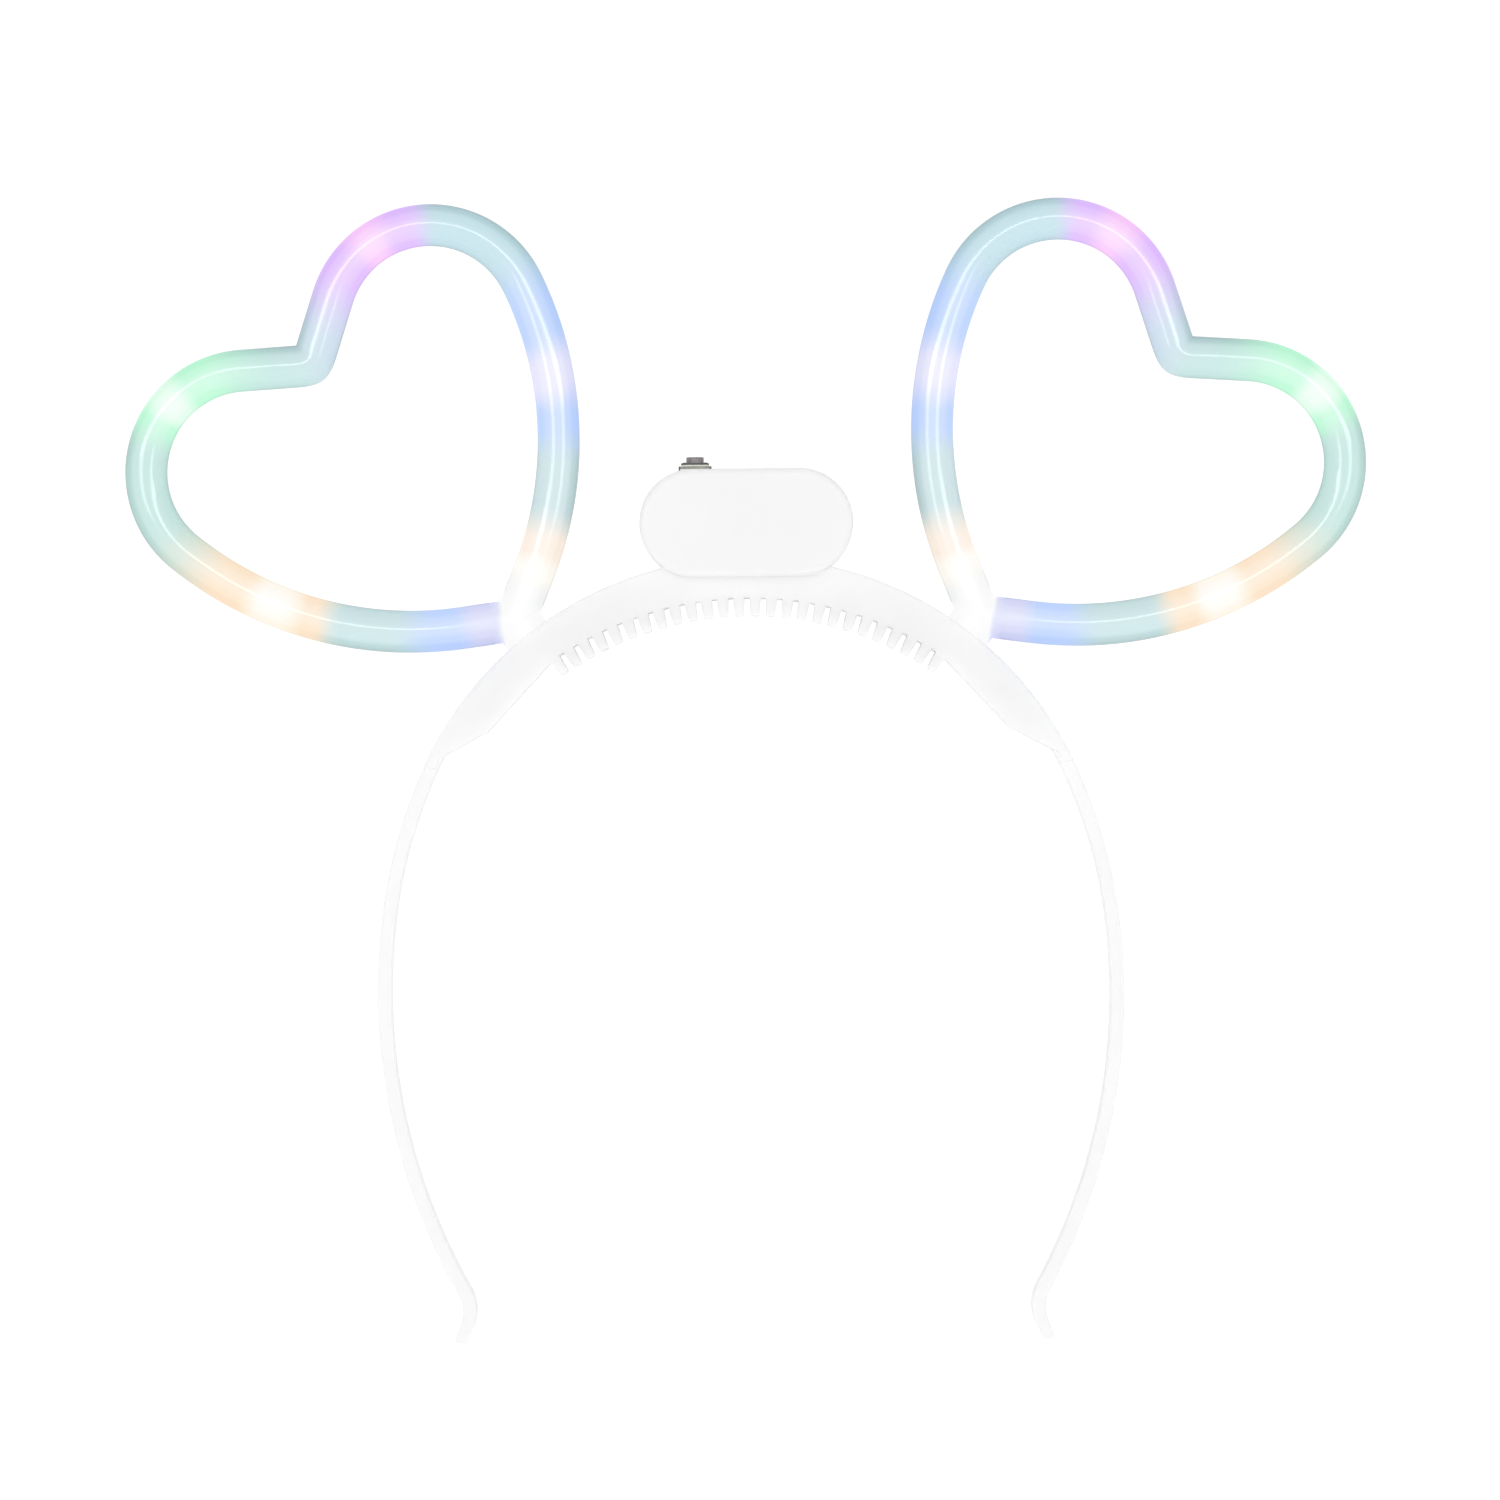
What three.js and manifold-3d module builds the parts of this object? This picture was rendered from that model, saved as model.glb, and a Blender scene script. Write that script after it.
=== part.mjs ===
// Light-up heart headband, lying on its back: +X to the viewer's right, +Y to the crown, +Z to the front.
// A white moulded band with a comb and a battery case carries two hearts of bent frosted tube with lights inside.
// All sizes are in millimetres, and a name that ends in DEGREES is an angle.

import * as THREE from 'three';
import { mergeVertices } from 'three/addons/utils/BufferGeometryUtils.js';
import Module from 'manifold-3d';

// Driving dimensions

const CLEARANCE = 0.3;              // gap between two pieces that meet
const OVERLAP = 0.6;                // how far solids that are joined reach into each other

// Crown: the thick arched top of the band
const CROWN_RADIUS = 64.6;
const CROWN_CENTRE_Y = -84.5;
const CROWN_DEPTH = 8;
const CROWN_EDGE = 0.5;             // chamfer along the edges
const CROWN_END_DEGREES = 25.2;     // where the crown gives way to the leg
const UNDERSIDE_RADIUS = 62;
const UNDERSIDE_CENTRE_Y = -89.3;
const UNDERSIDE_END_DEGREES = 55.7;
const HEEL = { x: 47, y: -51 };     // corner where the underside turns towards the leg
const HEEL_END = { x: 55.6, y: -55.6 };

// Comb on the crown's underside
const TEETH = 26;
const TOOTH_PITCH_DEGREES = 2.72;
const TOOTH_LENGTH = 3.2;
const TOOTH_ROOT_WIDTH = 2.15;
const TOOTH_TIP_WIDTH = 1.6;
const TOOTH_DEPTH = 7.96;

// Legs: thin springy strips that bend in towards turned-out feet
const LEG_THICKNESS = 2.56;
const FOOT_THICKNESS = 2.3;
const LEG_DEPTH = 6.8;
const LEG_EDGE = 0.4;
const LEG_START_DEGREES = 30;       // place on the crown's arc where the leg is rooted
const LEG_BENDS = [
  { radius: CROWN_RADIUS - LEG_THICKNESS / 2, turnDegrees: -5.4, thickness: LEG_THICKNESS, steps: 2 },
  { radius: 90, turnDegrees: -16.8, thickness: LEG_THICKNESS, steps: 7 },
  { radius: 109.8, turnDegrees: -36.9, thickness: LEG_THICKNESS, steps: 12 },
  { radius: 7, turnDegrees: 53, thickness: FOOT_THICKNESS, steps: 6 },
];
const FOOT_LENGTH = 2.3;

// Battery case: a pill lying across the crown, in two halves
const CASE_LENGTH = 38.3;
const CASE_HEIGHT = 19.3;
const CASE_DEPTH = 14;
const CASE_CENTRE_Y = -13.85;
const CASE_WALL = 1.6;
const CASE_EDGE = 1.1;              // rounding of the front and back edges

// Push switch in the top of the case
const SWITCH_X = -9.1;
const PLATE_SIDE = 5.9;
const PLATE_THICKNESS = 0.4;
const STEP_SIDE = 5;
const STEP_THICKNESS = 0.5;
const BODY_SIDE = 5.4;
const BODY_HEIGHT = 3.5;
const BUTTON_RADIUS = 1.6;
const BUTTON_TOP_RADIUS = 1.48;
const BUTTON_RISE = 1.15;           // height above the frame
const BUTTON_LENGTH = 4.1;
const WELL_DEPTH = 3.9;             // hole that the button slides in

// Hearts, drawn upright about their own middles, with the notch up and the tip down
const TUBE_RADIUS = 3.8;
const BORE_RADIUS = 2.8;
const HEART_X = 65.85;              // distance of each heart's middle from the mid plane
const HEART_TILT_DEGREES = 38;
const LOBE_CENTRE = { x: 21, y: 11.8 };
const LOBE_RADIUS = 18.4;
const NECK_DEGREES = 124.3;         // where the lobe's arc leaves the straight neck
const SIDE_DEGREES = -12.6;         // where the lobe's arc passes into the side's arc
const SIDE_RADIUS = 65.1;
const NECK_RING = 3.4;              // distance of the neck's first ring from the notch
const NOTCH_BACK = 3.4;             // distance of the notch's eased back from its middle
const TIP_SEAM = 0.3;               // gap between the two ends of the tube

// Socket that joins a heart to the crown, as distances from the crown's centre along the heart's axis
const COLLAR_FACE = 65.1;
const COLLAR_ROOT = 61;
const SOCKET_FLOOR = 60.5;
const PLUG_END = 60.9;
const PLUG_RADIUS = 2.2;
const PLUG_INSIDE = 1.6;            // how far the plug reaches into the tube

// Light strings inside the tubes, as distances along an arm from the notch
const LED_PLACES = [26, 73.5, 110.5];
const LED_RADIUS = 2.2;
const WIRE_RADIUS = 0.7;

// Facets
const ARC_STEPS = 40;
const PILL_STEPS = 16;
const CASE_EDGE_STEPS = 3;
const TUBE_SIDES = 12;
const BORE_SIDES = 8;
const PLUG_SIDES = 16;
const WIRE_SIDES = 5;
const BEAD_SIDES = 8;
const BEAD_STEPS = 5;
const LOBE_STEPS = 12;
const SIDE_STEPS = 13;
const TOE_STEPS = 6;
const TOOTH_STEPS = 5;
const BUTTON_SIDES = 20;

const SAME_PLACE = 1e-3;            // two points nearer than this are one
const radians = THREE.MathUtils.degToRad;
const wasm = await Module();
wasm.setup();

// Materials

const whitePlastic = () => new THREE.MeshStandardMaterial({ color: '#f3f3f2', roughness: 0.42, metalness: 0 });
const frostedTube = () => new THREE.MeshStandardMaterial({ color: '#c3e3e2', roughness: 0.3, metalness: 0 });
const clearLights = () => new THREE.MeshStandardMaterial({ color: '#e9eef2', roughness: 0.25, metalness: 0 });
const platedSteel = () => new THREE.MeshStandardMaterial({ color: '#85877f', roughness: 0.35, metalness: 1 });
const darkPlastic = () => new THREE.MeshStandardMaterial({ color: '#6d676a', roughness: 0.4, metalness: 0 });

// Solids and joins

function solid(geometry) {
  const bare = geometry.clone();
  bare.deleteAttribute('normal');
  bare.deleteAttribute('uv');
  const merged = mergeVertices(bare);
  return new wasm.Manifold(new wasm.Mesh({
    numProp: 3,
    vertProperties: new Float32Array(merged.attributes.position.array),
    triVerts: new Uint32Array(merged.index.array),
  }));
}

function join(solids) {
  return solids.reduce((whole, next) => whole.add(next));
}

function mesh(name, shape, material) {
  const { vertProperties, triVerts } = shape.getMesh();
  const geometry = new THREE.BufferGeometry();
  geometry.setAttribute('position', new THREE.BufferAttribute(new Float32Array(vertProperties), 3));
  geometry.setIndex(new THREE.BufferAttribute(new Uint32Array(triVerts), 1));
  geometry.computeVertexNormals();
  const piece = new THREE.Mesh(geometry, material);
  piece.name = name;
  return piece;
}

// A flat outline made solid between two heights, with its edges eased inwards
function plate(outline, bottom, top, edge = 0, edgeSteps = 1) {
  const geometry = new THREE.ExtrudeGeometry(new THREE.Shape(outline), {
    depth: top - bottom - 2 * edge,
    bevelEnabled: edge > 0,
    bevelThickness: edge,
    bevelSize: edge,
    bevelOffset: -edge,
    bevelSegments: edgeSteps,
    steps: 1,
  });
  return geometry.translate(0, 0, bottom + edge);
}

function box(x0, x1, y0, y1, z0, z1) {
  const geometry = new THREE.BoxGeometry(x1 - x0, y1 - y0, z1 - z0);
  return geometry.translate((x0 + x1) / 2, (y0 + y1) / 2, (z0 + z1) / 2);
}

// Points along an arc, both ends included
function arc(centre, radius, fromDegrees, toDegrees, steps) {
  const points = [];
  for (let k = 0; k <= steps; k += 1) {
    const angle = radians(fromDegrees + (toDegrees - fromDegrees) * k / steps);
    points.push(new THREE.Vector2(centre.x + radius * Math.cos(angle), centre.y + radius * Math.sin(angle)));
  }
  return points;
}

const mirrored = (points) => points.map((p) => new THREE.Vector2(-p.x, p.y));

// Band

function crownOutline() {
  const crownCentre = { x: 0, y: CROWN_CENTRE_Y };
  const outerTo = 180 - CROWN_END_DEGREES;
  const outer = arc(crownCentre, CROWN_RADIUS, CROWN_END_DEGREES, outerTo, ARC_STEPS);
  const underCentre = { x: 0, y: UNDERSIDE_CENTRE_Y };
  const underFrom = 180 - UNDERSIDE_END_DEGREES;
  const underside = arc(underCentre, UNDERSIDE_RADIUS, underFrom, UNDERSIDE_END_DEGREES, ARC_STEPS / 2);
  const legRoot = outer[0].clone();
  legRoot.x -= LEG_THICKNESS * Math.cos(radians(CROWN_END_DEGREES));
  legRoot.y -= OVERLAP;
  const heel = [legRoot, new THREE.Vector2(HEEL_END.x, HEEL_END.y), new THREE.Vector2(HEEL.x, HEEL.y)];
  return [...outer, ...mirrored(heel), ...underside, ...heel.reverse()];
}

// Walks the right leg's middle line from the crown to the foot, bend by bend
function legStations() {
  const start = radians(LEG_START_DEGREES);
  const point = new THREE.Vector2(Math.cos(start), Math.sin(start)).multiplyScalar(LEG_BENDS[0].radius);
  point.y += CROWN_CENTRE_Y;
  const heading = new THREE.Vector2(Math.sin(start), -Math.cos(start));
  const stations = [{ point: point.clone(), heading: heading.clone(), half: LEG_THICKNESS / 2 }];
  const origin = new THREE.Vector2();
  for (const { radius, turnDegrees, thickness, steps } of LEG_BENDS) {
    const turn = radians(turnDegrees / steps);
    const chord = 2 * radius * Math.sin(Math.abs(turn) / 2);
    for (let k = 0; k < steps; k += 1) {
      heading.rotateAround(origin, turn / 2);
      point.addScaledVector(heading, chord);
      heading.rotateAround(origin, turn / 2);
      stations.push({ point: point.clone(), heading: heading.clone(), half: thickness / 2 });
    }
  }
  point.addScaledVector(heading, FOOT_LENGTH);
  stations.push({ point: point.clone(), heading: heading.clone(), half: FOOT_THICKNESS / 2 });
  return stations;
}

function legOutline() {
  const stations = legStations();
  const offset = ({ point, heading, half }, side) => new THREE.Vector2(
    point.x - side * half * heading.y,
    point.y + side * half * heading.x,
  );
  const outer = stations.map((s) => offset(s, 1));
  const inner = stations.map((s) => offset(s, -1));
  const { point, heading, half } = stations.at(-1);
  const across = THREE.MathUtils.radToDeg(heading.angle()) + 90;
  const toe = arc(point, half, across, across - 180, TOE_STEPS).slice(1, -1);
  return [...outer, ...toe, ...inner.reverse()];
}

function leg(outline) {
  const back = (CROWN_DEPTH - LEG_DEPTH) / 2;
  return solid(plate(outline, back, back + LEG_DEPTH, LEG_EDGE));
}

function toothOutline() {
  const root = TOOTH_ROOT_WIDTH / 2;
  const tip = TOOTH_TIP_WIDTH / 2;
  const round = arc({ x: 0, y: tip - TOOTH_LENGTH }, tip, 180, 360, TOOTH_STEPS);
  return [new THREE.Vector2(root, OVERLAP), new THREE.Vector2(-root, OVERLAP), ...round];
}

function comb() {
  const back = (CROWN_DEPTH - TOOTH_DEPTH) / 2;
  const tooth = plate(toothOutline(), back, back + TOOTH_DEPTH).translate(0, UNDERSIDE_RADIUS, 0);
  const teeth = [];
  for (let k = 0; k < TEETH; k += 1) {
    const angle = radians((k - (TEETH - 1) / 2) * TOOTH_PITCH_DEGREES);
    teeth.push(solid(tooth.clone().rotateZ(angle).translate(0, UNDERSIDE_CENTRE_Y, 0)));
  }
  return join(teeth);
}

// Hearts: where a heart's own axis lies, and how far its middle is from the crown's centre along that axis

const heartTilt = radians(HEART_TILT_DEGREES);
const heartReach = HEART_X * Math.sin(heartTilt) - CROWN_CENTRE_Y * Math.cos(heartTilt);

// A round bar on the heart's axis of one side, between two distances from the crown's centre
function axisBar(side, radius, from, to) {
  const geometry = new THREE.CylinderGeometry(radius, radius, to - from, PLUG_SIDES);
  geometry.translate(0, (from + to) / 2 - heartReach, 0);
  geometry.rotateZ(-side * heartTilt);
  return solid(geometry.translate(side * HEART_X, 0, CROWN_DEPTH / 2));
}

// Battery case

function pillOutline(inset) {
  const radius = CASE_HEIGHT / 2 - inset;
  const reach = (CASE_LENGTH - CASE_HEIGHT) / 2;
  const right = arc({ x: reach, y: CASE_CENTRE_Y }, radius, -90, 90, PILL_STEPS);
  return [...right, ...mirrored(right).reverse()];
}

const caseTop = CASE_CENTRE_Y + CASE_HEIGHT / 2;
const caseBlock = solid(plate(pillOutline(0), 0, CASE_DEPTH, CASE_EDGE, CASE_EDGE_STEPS));
const caseHollow = solid(plate(pillOutline(CASE_WALL), CASE_WALL, CASE_DEPTH - CASE_WALL));
const wayOut = 2 * CASE_LENGTH;
const backSpace = solid(box(-wayOut, wayOut, -wayOut, wayOut, -CASE_DEPTH, CROWN_DEPTH));
const switchMiddle = CASE_DEPTH / 2;

// A square block round the switch's axis
function switchBlock(side, bottom, top) {
  const half = side / 2;
  return solid(box(SWITCH_X - half, SWITCH_X + half, bottom, top, switchMiddle - half, switchMiddle + half));
}

const switchSlot = switchBlock(BODY_SIDE + 2 * CLEARANCE, caseTop - 2 * CASE_WALL, caseTop + CASE_WALL);

function headband() {
  const back = caseBlock.intersect(backSpace);
  const crown = solid(plate(crownOutline(), 0, CROWN_DEPTH, CROWN_EDGE));
  const legs = [leg(legOutline()), leg(mirrored(legOutline()))];
  const collars = [-1, 1].map((side) => axisBar(side, TUBE_RADIUS, COLLAR_ROOT, COLLAR_FACE));
  const mouth = COLLAR_FACE + OVERLAP;
  const sockets = [-1, 1].map((side) => axisBar(side, PLUG_RADIUS + CLEARANCE, SOCKET_FLOOR, mouth));
  const whole = join([crown, back, comb(), ...legs, ...collars]);
  const band = whole.subtract(caseHollow).subtract(switchSlot).subtract(join(sockets));
  return mesh('headband', band, whitePlastic());
}

function caseFront() {
  const parting = CROWN_DEPTH + CLEARANCE;
  const frontSpace = solid(box(-wayOut, wayOut, -wayOut, wayOut, parting, 2 * CASE_DEPTH));
  const shell = caseBlock.subtract(caseHollow).subtract(switchSlot).intersect(frontSpace);
  return mesh('case_front', shell, whitePlastic());
}

// Switch

const plateBottom = caseTop + CLEARANCE;
const plateTop = plateBottom + PLATE_THICKNESS;
const frameTop = plateTop + STEP_THICKNESS;

function switchFrame() {
  const metal = switchBlock(PLATE_SIDE, plateBottom, plateTop);
  const step = switchBlock(STEP_SIDE, plateBottom, frameTop);
  const body = switchBlock(BODY_SIDE, plateBottom - BODY_HEIGHT, plateTop);
  const wellTop = frameTop + CLEARANCE;
  const wellBottom = frameTop - WELL_DEPTH;
  const well = new THREE.CylinderGeometry(
    BUTTON_RADIUS + CLEARANCE, BUTTON_RADIUS + CLEARANCE, wellTop - wellBottom, BUTTON_SIDES,
  );
  well.translate(SWITCH_X, (wellTop + wellBottom) / 2, switchMiddle);
  return mesh('switch_frame', join([metal, step, body]).subtract(solid(well)), platedSteel());
}

function switchButton() {
  const plunger = new THREE.CylinderGeometry(BUTTON_TOP_RADIUS, BUTTON_RADIUS, BUTTON_LENGTH, BUTTON_SIDES);
  const button = new THREE.Mesh(plunger, darkPlastic());
  button.name = 'switch_button';
  button.position.set(SWITCH_X, frameTop + BUTTON_RISE - BUTTON_LENGTH / 2, switchMiddle);
  return button;
}

// Heart tubes

const neckAngle = radians(NECK_DEGREES);
const neckHeading = new THREE.Vector2(Math.sin(neckAngle), -Math.cos(neckAngle));
const neckEnd = arc(LOBE_CENTRE, LOBE_RADIUS, NECK_DEGREES, NECK_DEGREES, 1)[0];
const neckLength = neckEnd.x / neckHeading.x;
const notch = neckEnd.clone().addScaledVector(neckHeading, -neckLength);
const sideAngle = radians(SIDE_DEGREES);
const sideCentre = {
  x: LOBE_CENTRE.x + (LOBE_RADIUS - SIDE_RADIUS) * Math.cos(sideAngle),
  y: LOBE_CENTRE.y + (LOBE_RADIUS - SIDE_RADIUS) * Math.sin(sideAngle),
};
const tipAngle = -Math.acos(-sideCentre.x / SIDE_RADIUS);
const tip = new THREE.Vector2(0, sideCentre.y + SIDE_RADIUS * Math.sin(tipAngle));

// Rings of the right arm from notch to tip. The rings at both ends lie on the heart's axis, so their
// sections are longer than round: above and below are the stretches of each half of the section.
function armRings() {
  const rings = [{
    point: notch,
    heading: new THREE.Vector2(1, 0),
    above: 1 / neckHeading.x,
    below: NOTCH_BACK / TUBE_RADIUS,
  }];
  const round = (centre, points) => points.forEach((point) => {
    const heading = new THREE.Vector2(point.y - centre.y, centre.x - point.x).normalize();
    rings.push({ point, heading });
  });
  rings.push({ point: notch.clone().addScaledVector(neckHeading, NECK_RING), heading: neckHeading });
  round(LOBE_CENTRE, arc(LOBE_CENTRE, LOBE_RADIUS, NECK_DEGREES, SIDE_DEGREES, LOBE_STEPS));
  const tipDegrees = THREE.MathUtils.radToDeg(tipAngle);
  round(sideCentre, arc(sideCentre, SIDE_RADIUS, SIDE_DEGREES, tipDegrees, SIDE_STEPS).slice(1, -1));
  const stretch = -1 / Math.sin(tipAngle);
  const end = new THREE.Vector2(TIP_SEAM / 2, tip.y);
  rings.push({ point: end, heading: new THREE.Vector2(-1, 0), above: stretch, below: stretch });
  return rings;
}

// Both arms in one run, from the tip up the left arm to the notch and down the right arm to the tip
function heartRings() {
  const right = armRings();
  const left = right.slice(1).map((ring) => ({
    ...ring,
    point: new THREE.Vector2(-ring.point.x, ring.point.y),
    heading: new THREE.Vector2(ring.heading.x, -ring.heading.y),
  }));
  return [...left.reverse(), ...right];
}

// A path through rings that are already placed, so that each keeps its own point and heading
class RingPath extends THREE.Curve {
  constructor(rings) {
    super();
    this.rings = rings;
  }

  ringAt(t) {
    return this.rings[Math.round(t * (this.rings.length - 1))];
  }

  getPointAt(t) {
    const { point } = this.ringAt(t);
    return new THREE.Vector3(point.x, point.y, 0);
  }

  getTangentAt(t) {
    const { heading } = this.ringAt(t);
    return new THREE.Vector3(heading.x, heading.y, 0);
  }
}

function sweep(section, rings) {
  return new THREE.ExtrudeGeometry(section, { steps: rings.length - 1, extrudePath: new RingPath(rings) });
}

const roundSection = (radius, sides) => arc({ x: 0, y: 0 }, radius, 0, 360 - 360 / sides, sides - 1);

function stretchOnAxis(geometry, rings) {
  const position = geometry.attributes.position;
  const ends = rings.filter((ring) => ring.above);
  const reach = 2 * TUBE_RADIUS;
  for (let k = 0; k < position.count; k += 1) {
    const at = new THREE.Vector2(position.getX(k), position.getY(k));
    const ring = ends.find(({ point }) => (
      Math.abs(at.x - point.x) < SAME_PLACE && Math.abs(at.y - point.y) < reach
    ));
    if (ring) {
      const rise = at.y - ring.point.y;
      position.setY(k, ring.point.y + rise * (rise > 0 ? ring.above : ring.below));
    }
  }
  return geometry;
}

function heartTube(name) {
  const rings = heartRings();
  const section = new THREE.Shape(roundSection(TUBE_RADIUS, TUBE_SIDES));
  section.holes.push(new THREE.Path(roundSection(BORE_RADIUS, BORE_SIDES)));
  const tube = solid(stretchOnAxis(sweep(section, rings), rings));
  const face = COLLAR_FACE + CLEARANCE - heartReach;
  const wide = 3 * TUBE_RADIUS;
  const seat = solid(box(-wide, wide, face - wide, face, -wide, wide));
  const plugBottom = PLUG_END - heartReach;
  const plugTop = tip.y - BORE_RADIUS + PLUG_INSIDE;
  const plug = new THREE.CylinderGeometry(PLUG_RADIUS, PLUG_RADIUS, plugTop - plugBottom, PLUG_SIDES);
  plug.translate(0, (plugTop + plugBottom) / 2, 0);
  return mesh(name, tube.subtract(seat).add(solid(plug)), frostedTube());
}

// Point on the right arm at a distance from the notch
function armPoint(distance) {
  const lobeLength = LOBE_RADIUS * (neckAngle - sideAngle);
  const past = distance - neckLength;
  if (past < lobeLength) {
    return arc(LOBE_CENTRE, LOBE_RADIUS, NECK_DEGREES - THREE.MathUtils.radToDeg(past / LOBE_RADIUS), 0, 1)[0];
  }
  const turned = THREE.MathUtils.radToDeg((past - lobeLength) / SIDE_RADIUS);
  return arc(sideCentre, SIDE_RADIUS, SIDE_DEGREES - turned, 0, 1)[0];
}

function ledString(name) {
  const rings = heartRings().slice(1, -1);
  const wire = solid(sweep(new THREE.Shape(roundSection(WIRE_RADIUS, WIRE_SIDES)), rings));
  const places = LED_PLACES.map(armPoint);
  const beads = [...places, ...mirrored(places)].map(({ x, y }) => {
    const bead = new THREE.SphereGeometry(LED_RADIUS, BEAD_SIDES, BEAD_STEPS);
    return solid(bead.translate(x, y, 0));
  });
  return mesh(name, join([wire, ...beads]), clearLights());
}

function heart(label, side) {
  const group = new THREE.Group();
  group.add(heartTube(`${label}_heart_tube`), ledString(`${label}_led_string`));
  group.position.set(side * HEART_X, 0, CROWN_DEPTH / 2);
  group.rotation.z = -side * heartTilt;
  return group;
}

// The whole headband, moved so that the middle of its back lies on the origin

const headpiece = new THREE.Group();
headpiece.add(headband(), caseFront(), switchFrame(), switchButton(), heart('left', -1), heart('right', 1));
headpiece.updateMatrixWorld(true);
const bounds = new THREE.Box3().setFromObject(headpiece, true);
headpiece.position.y = -(bounds.min.y + bounds.max.y) / 2;

export default headpiece;
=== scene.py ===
# %% [markdown]
# # A light-up heart headband
#
# The object is a white plastic headband that lies on its back. A pill-shaped battery case with a push
# switch sits on its crown, a comb lines the inside, and two open hearts of bent frosted tube glow in
# pastel colours. The CAD frame already fixes the size and place of everything. This lesson models each
# piece again with the finish of the real thing, in the same frame, piece by piece.
#
# Blender works in metres. Sizes below are written in millimetres and turned into metres by MM.

# %% Load the frame
import math

import bmesh
import bpy
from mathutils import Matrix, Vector


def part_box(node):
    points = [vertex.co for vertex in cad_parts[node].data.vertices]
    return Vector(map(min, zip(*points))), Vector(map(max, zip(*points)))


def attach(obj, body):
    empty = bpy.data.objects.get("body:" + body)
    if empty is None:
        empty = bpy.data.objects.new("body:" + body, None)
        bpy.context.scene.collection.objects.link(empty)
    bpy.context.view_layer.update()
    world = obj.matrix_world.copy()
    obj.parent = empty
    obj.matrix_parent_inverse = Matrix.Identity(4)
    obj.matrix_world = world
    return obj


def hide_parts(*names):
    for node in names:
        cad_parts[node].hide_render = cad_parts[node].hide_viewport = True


MM = 0.001
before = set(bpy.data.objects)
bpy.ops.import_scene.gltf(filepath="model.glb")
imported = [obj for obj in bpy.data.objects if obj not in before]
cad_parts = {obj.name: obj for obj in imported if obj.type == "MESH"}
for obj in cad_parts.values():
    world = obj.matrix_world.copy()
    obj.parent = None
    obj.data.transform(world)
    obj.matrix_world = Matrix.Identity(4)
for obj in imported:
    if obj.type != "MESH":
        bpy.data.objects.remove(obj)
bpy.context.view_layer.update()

# %% [markdown]
# ## Where things lie
#
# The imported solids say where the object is. The battery case is the easiest mark to measure from: it is
# centred on the mid plane, so its box gives the middle that the crown and the hearts are counted from.

# %% Marks taken from the frame
case_low, case_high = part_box("case_front")
CASE_LENGTH = (case_high.x - case_low.x) / MM
CASE_HEIGHT = (case_high.y - case_low.y) / MM
CASE_DEPTH = case_high.z / MM
PARTING = case_low.z / MM             # height where the front half of the case begins
CROWN_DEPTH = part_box("headband")[1].z / MM
case_middle_y = (case_low.y + case_high.y) / 2 / MM


def place(x, y, z=0):
    """A point given in millimetres, with y counted from the middle of the battery case."""
    return Vector((x, case_middle_y + y, z)) * MM


CROWN_CENTRE = place(0, -70.65)
UNDERSIDE_CENTRE = place(0, -75.45)
HEART_MIDDLE = place(65.85, 13.85, CROWN_DEPTH / 2)
print(f"case {CASE_LENGTH:.1f} x {CASE_HEIGHT:.1f} x {CASE_DEPTH:.1f} mm, crown {CROWN_DEPTH:.1f} mm deep")

# %% [markdown]
# ## Camera
#
# The photograph looks straight at the front of the headband, from far enough away that it hardly shows
# perspective. As the object lies on its back, the camera hangs above it and looks down. A long lens at
# 1.2 m does this. The picture is a square of 1500 pixels, and a pixel is 0.18 mm on the object.

# %% Camera
PHOTO_PIXELS = 1500
PIXEL_SIZE = 0.18
CAMERA_HEIGHT = 1206
SHARP_HEIGHT = 6                      # height where a pixel has exactly that size
VIEW_X = 0.24                         # point of the object in the middle of the picture
VIEW_Y = -40.75
VIEW_TURN_DEGREES = -0.6
SENSOR_WIDTH = 36

bpy.ops.object.camera_add(
    location=place(VIEW_X, VIEW_Y, CAMERA_HEIGHT),
    rotation=(0, 0, math.radians(VIEW_TURN_DEGREES)),
)
camera = bpy.context.object
camera.data.sensor_width = SENSOR_WIDTH
camera.data.lens = SENSOR_WIDTH * (CAMERA_HEIGHT - SHARP_HEIGHT) / (PHOTO_PIXELS * PIXEL_SIZE)
camera.data.clip_end = 100
bpy.context.scene.camera = camera
print(f"camera with a {camera.data.lens:.0f} mm lens")

# %% [markdown]
# ## Hand tools
#
# Blender's operators act on whatever is selected, so every step begins by choosing what to work on.
# These few helpers do the choosing: one holds a single object, one opens it, one picks parts of its mesh
# by a test, and one adds a modifier and applies it at once. One more brings a cube to size, which is how
# most of the small pieces begin.

# %% Helpers for choosing and opening
MERGE_REACH = 0.001                   # points nearer than this become one
MIDDLE_REACH = 0.01                   # and points nearer than this to the mid plane lie on it


def let_go():
    """Deselect everything, so that what is added next is alone."""
    bpy.ops.object.select_all(action="DESELECT")


def hold(piece):
    """Select one object alone and make it the active one."""
    let_go()
    piece.select_set(True)
    bpy.context.view_layer.objects.active = piece
    return piece


def settle():
    """Move the place, turn and size of what is selected into its mesh."""
    bpy.ops.object.transform_apply(location=True, rotation=True, scale=True)


def named(name):
    """Give the object that was just added its name, and move its place into its mesh."""
    piece = bpy.context.object
    piece.name = name
    piece.data.name = name
    settle()
    return piece


def cuboid(name, middle, size):
    """A cube brought to a size in millimetres, round a point."""
    let_go()
    bpy.ops.mesh.primitive_cube_add(size=1, location=middle)
    bpy.context.object.scale = Vector(size) * MM
    return named(name)


def open_mesh(piece):
    hold(piece)
    bpy.ops.object.mode_set(mode="EDIT")
    bpy.ops.mesh.select_all(action="SELECT")


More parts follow.
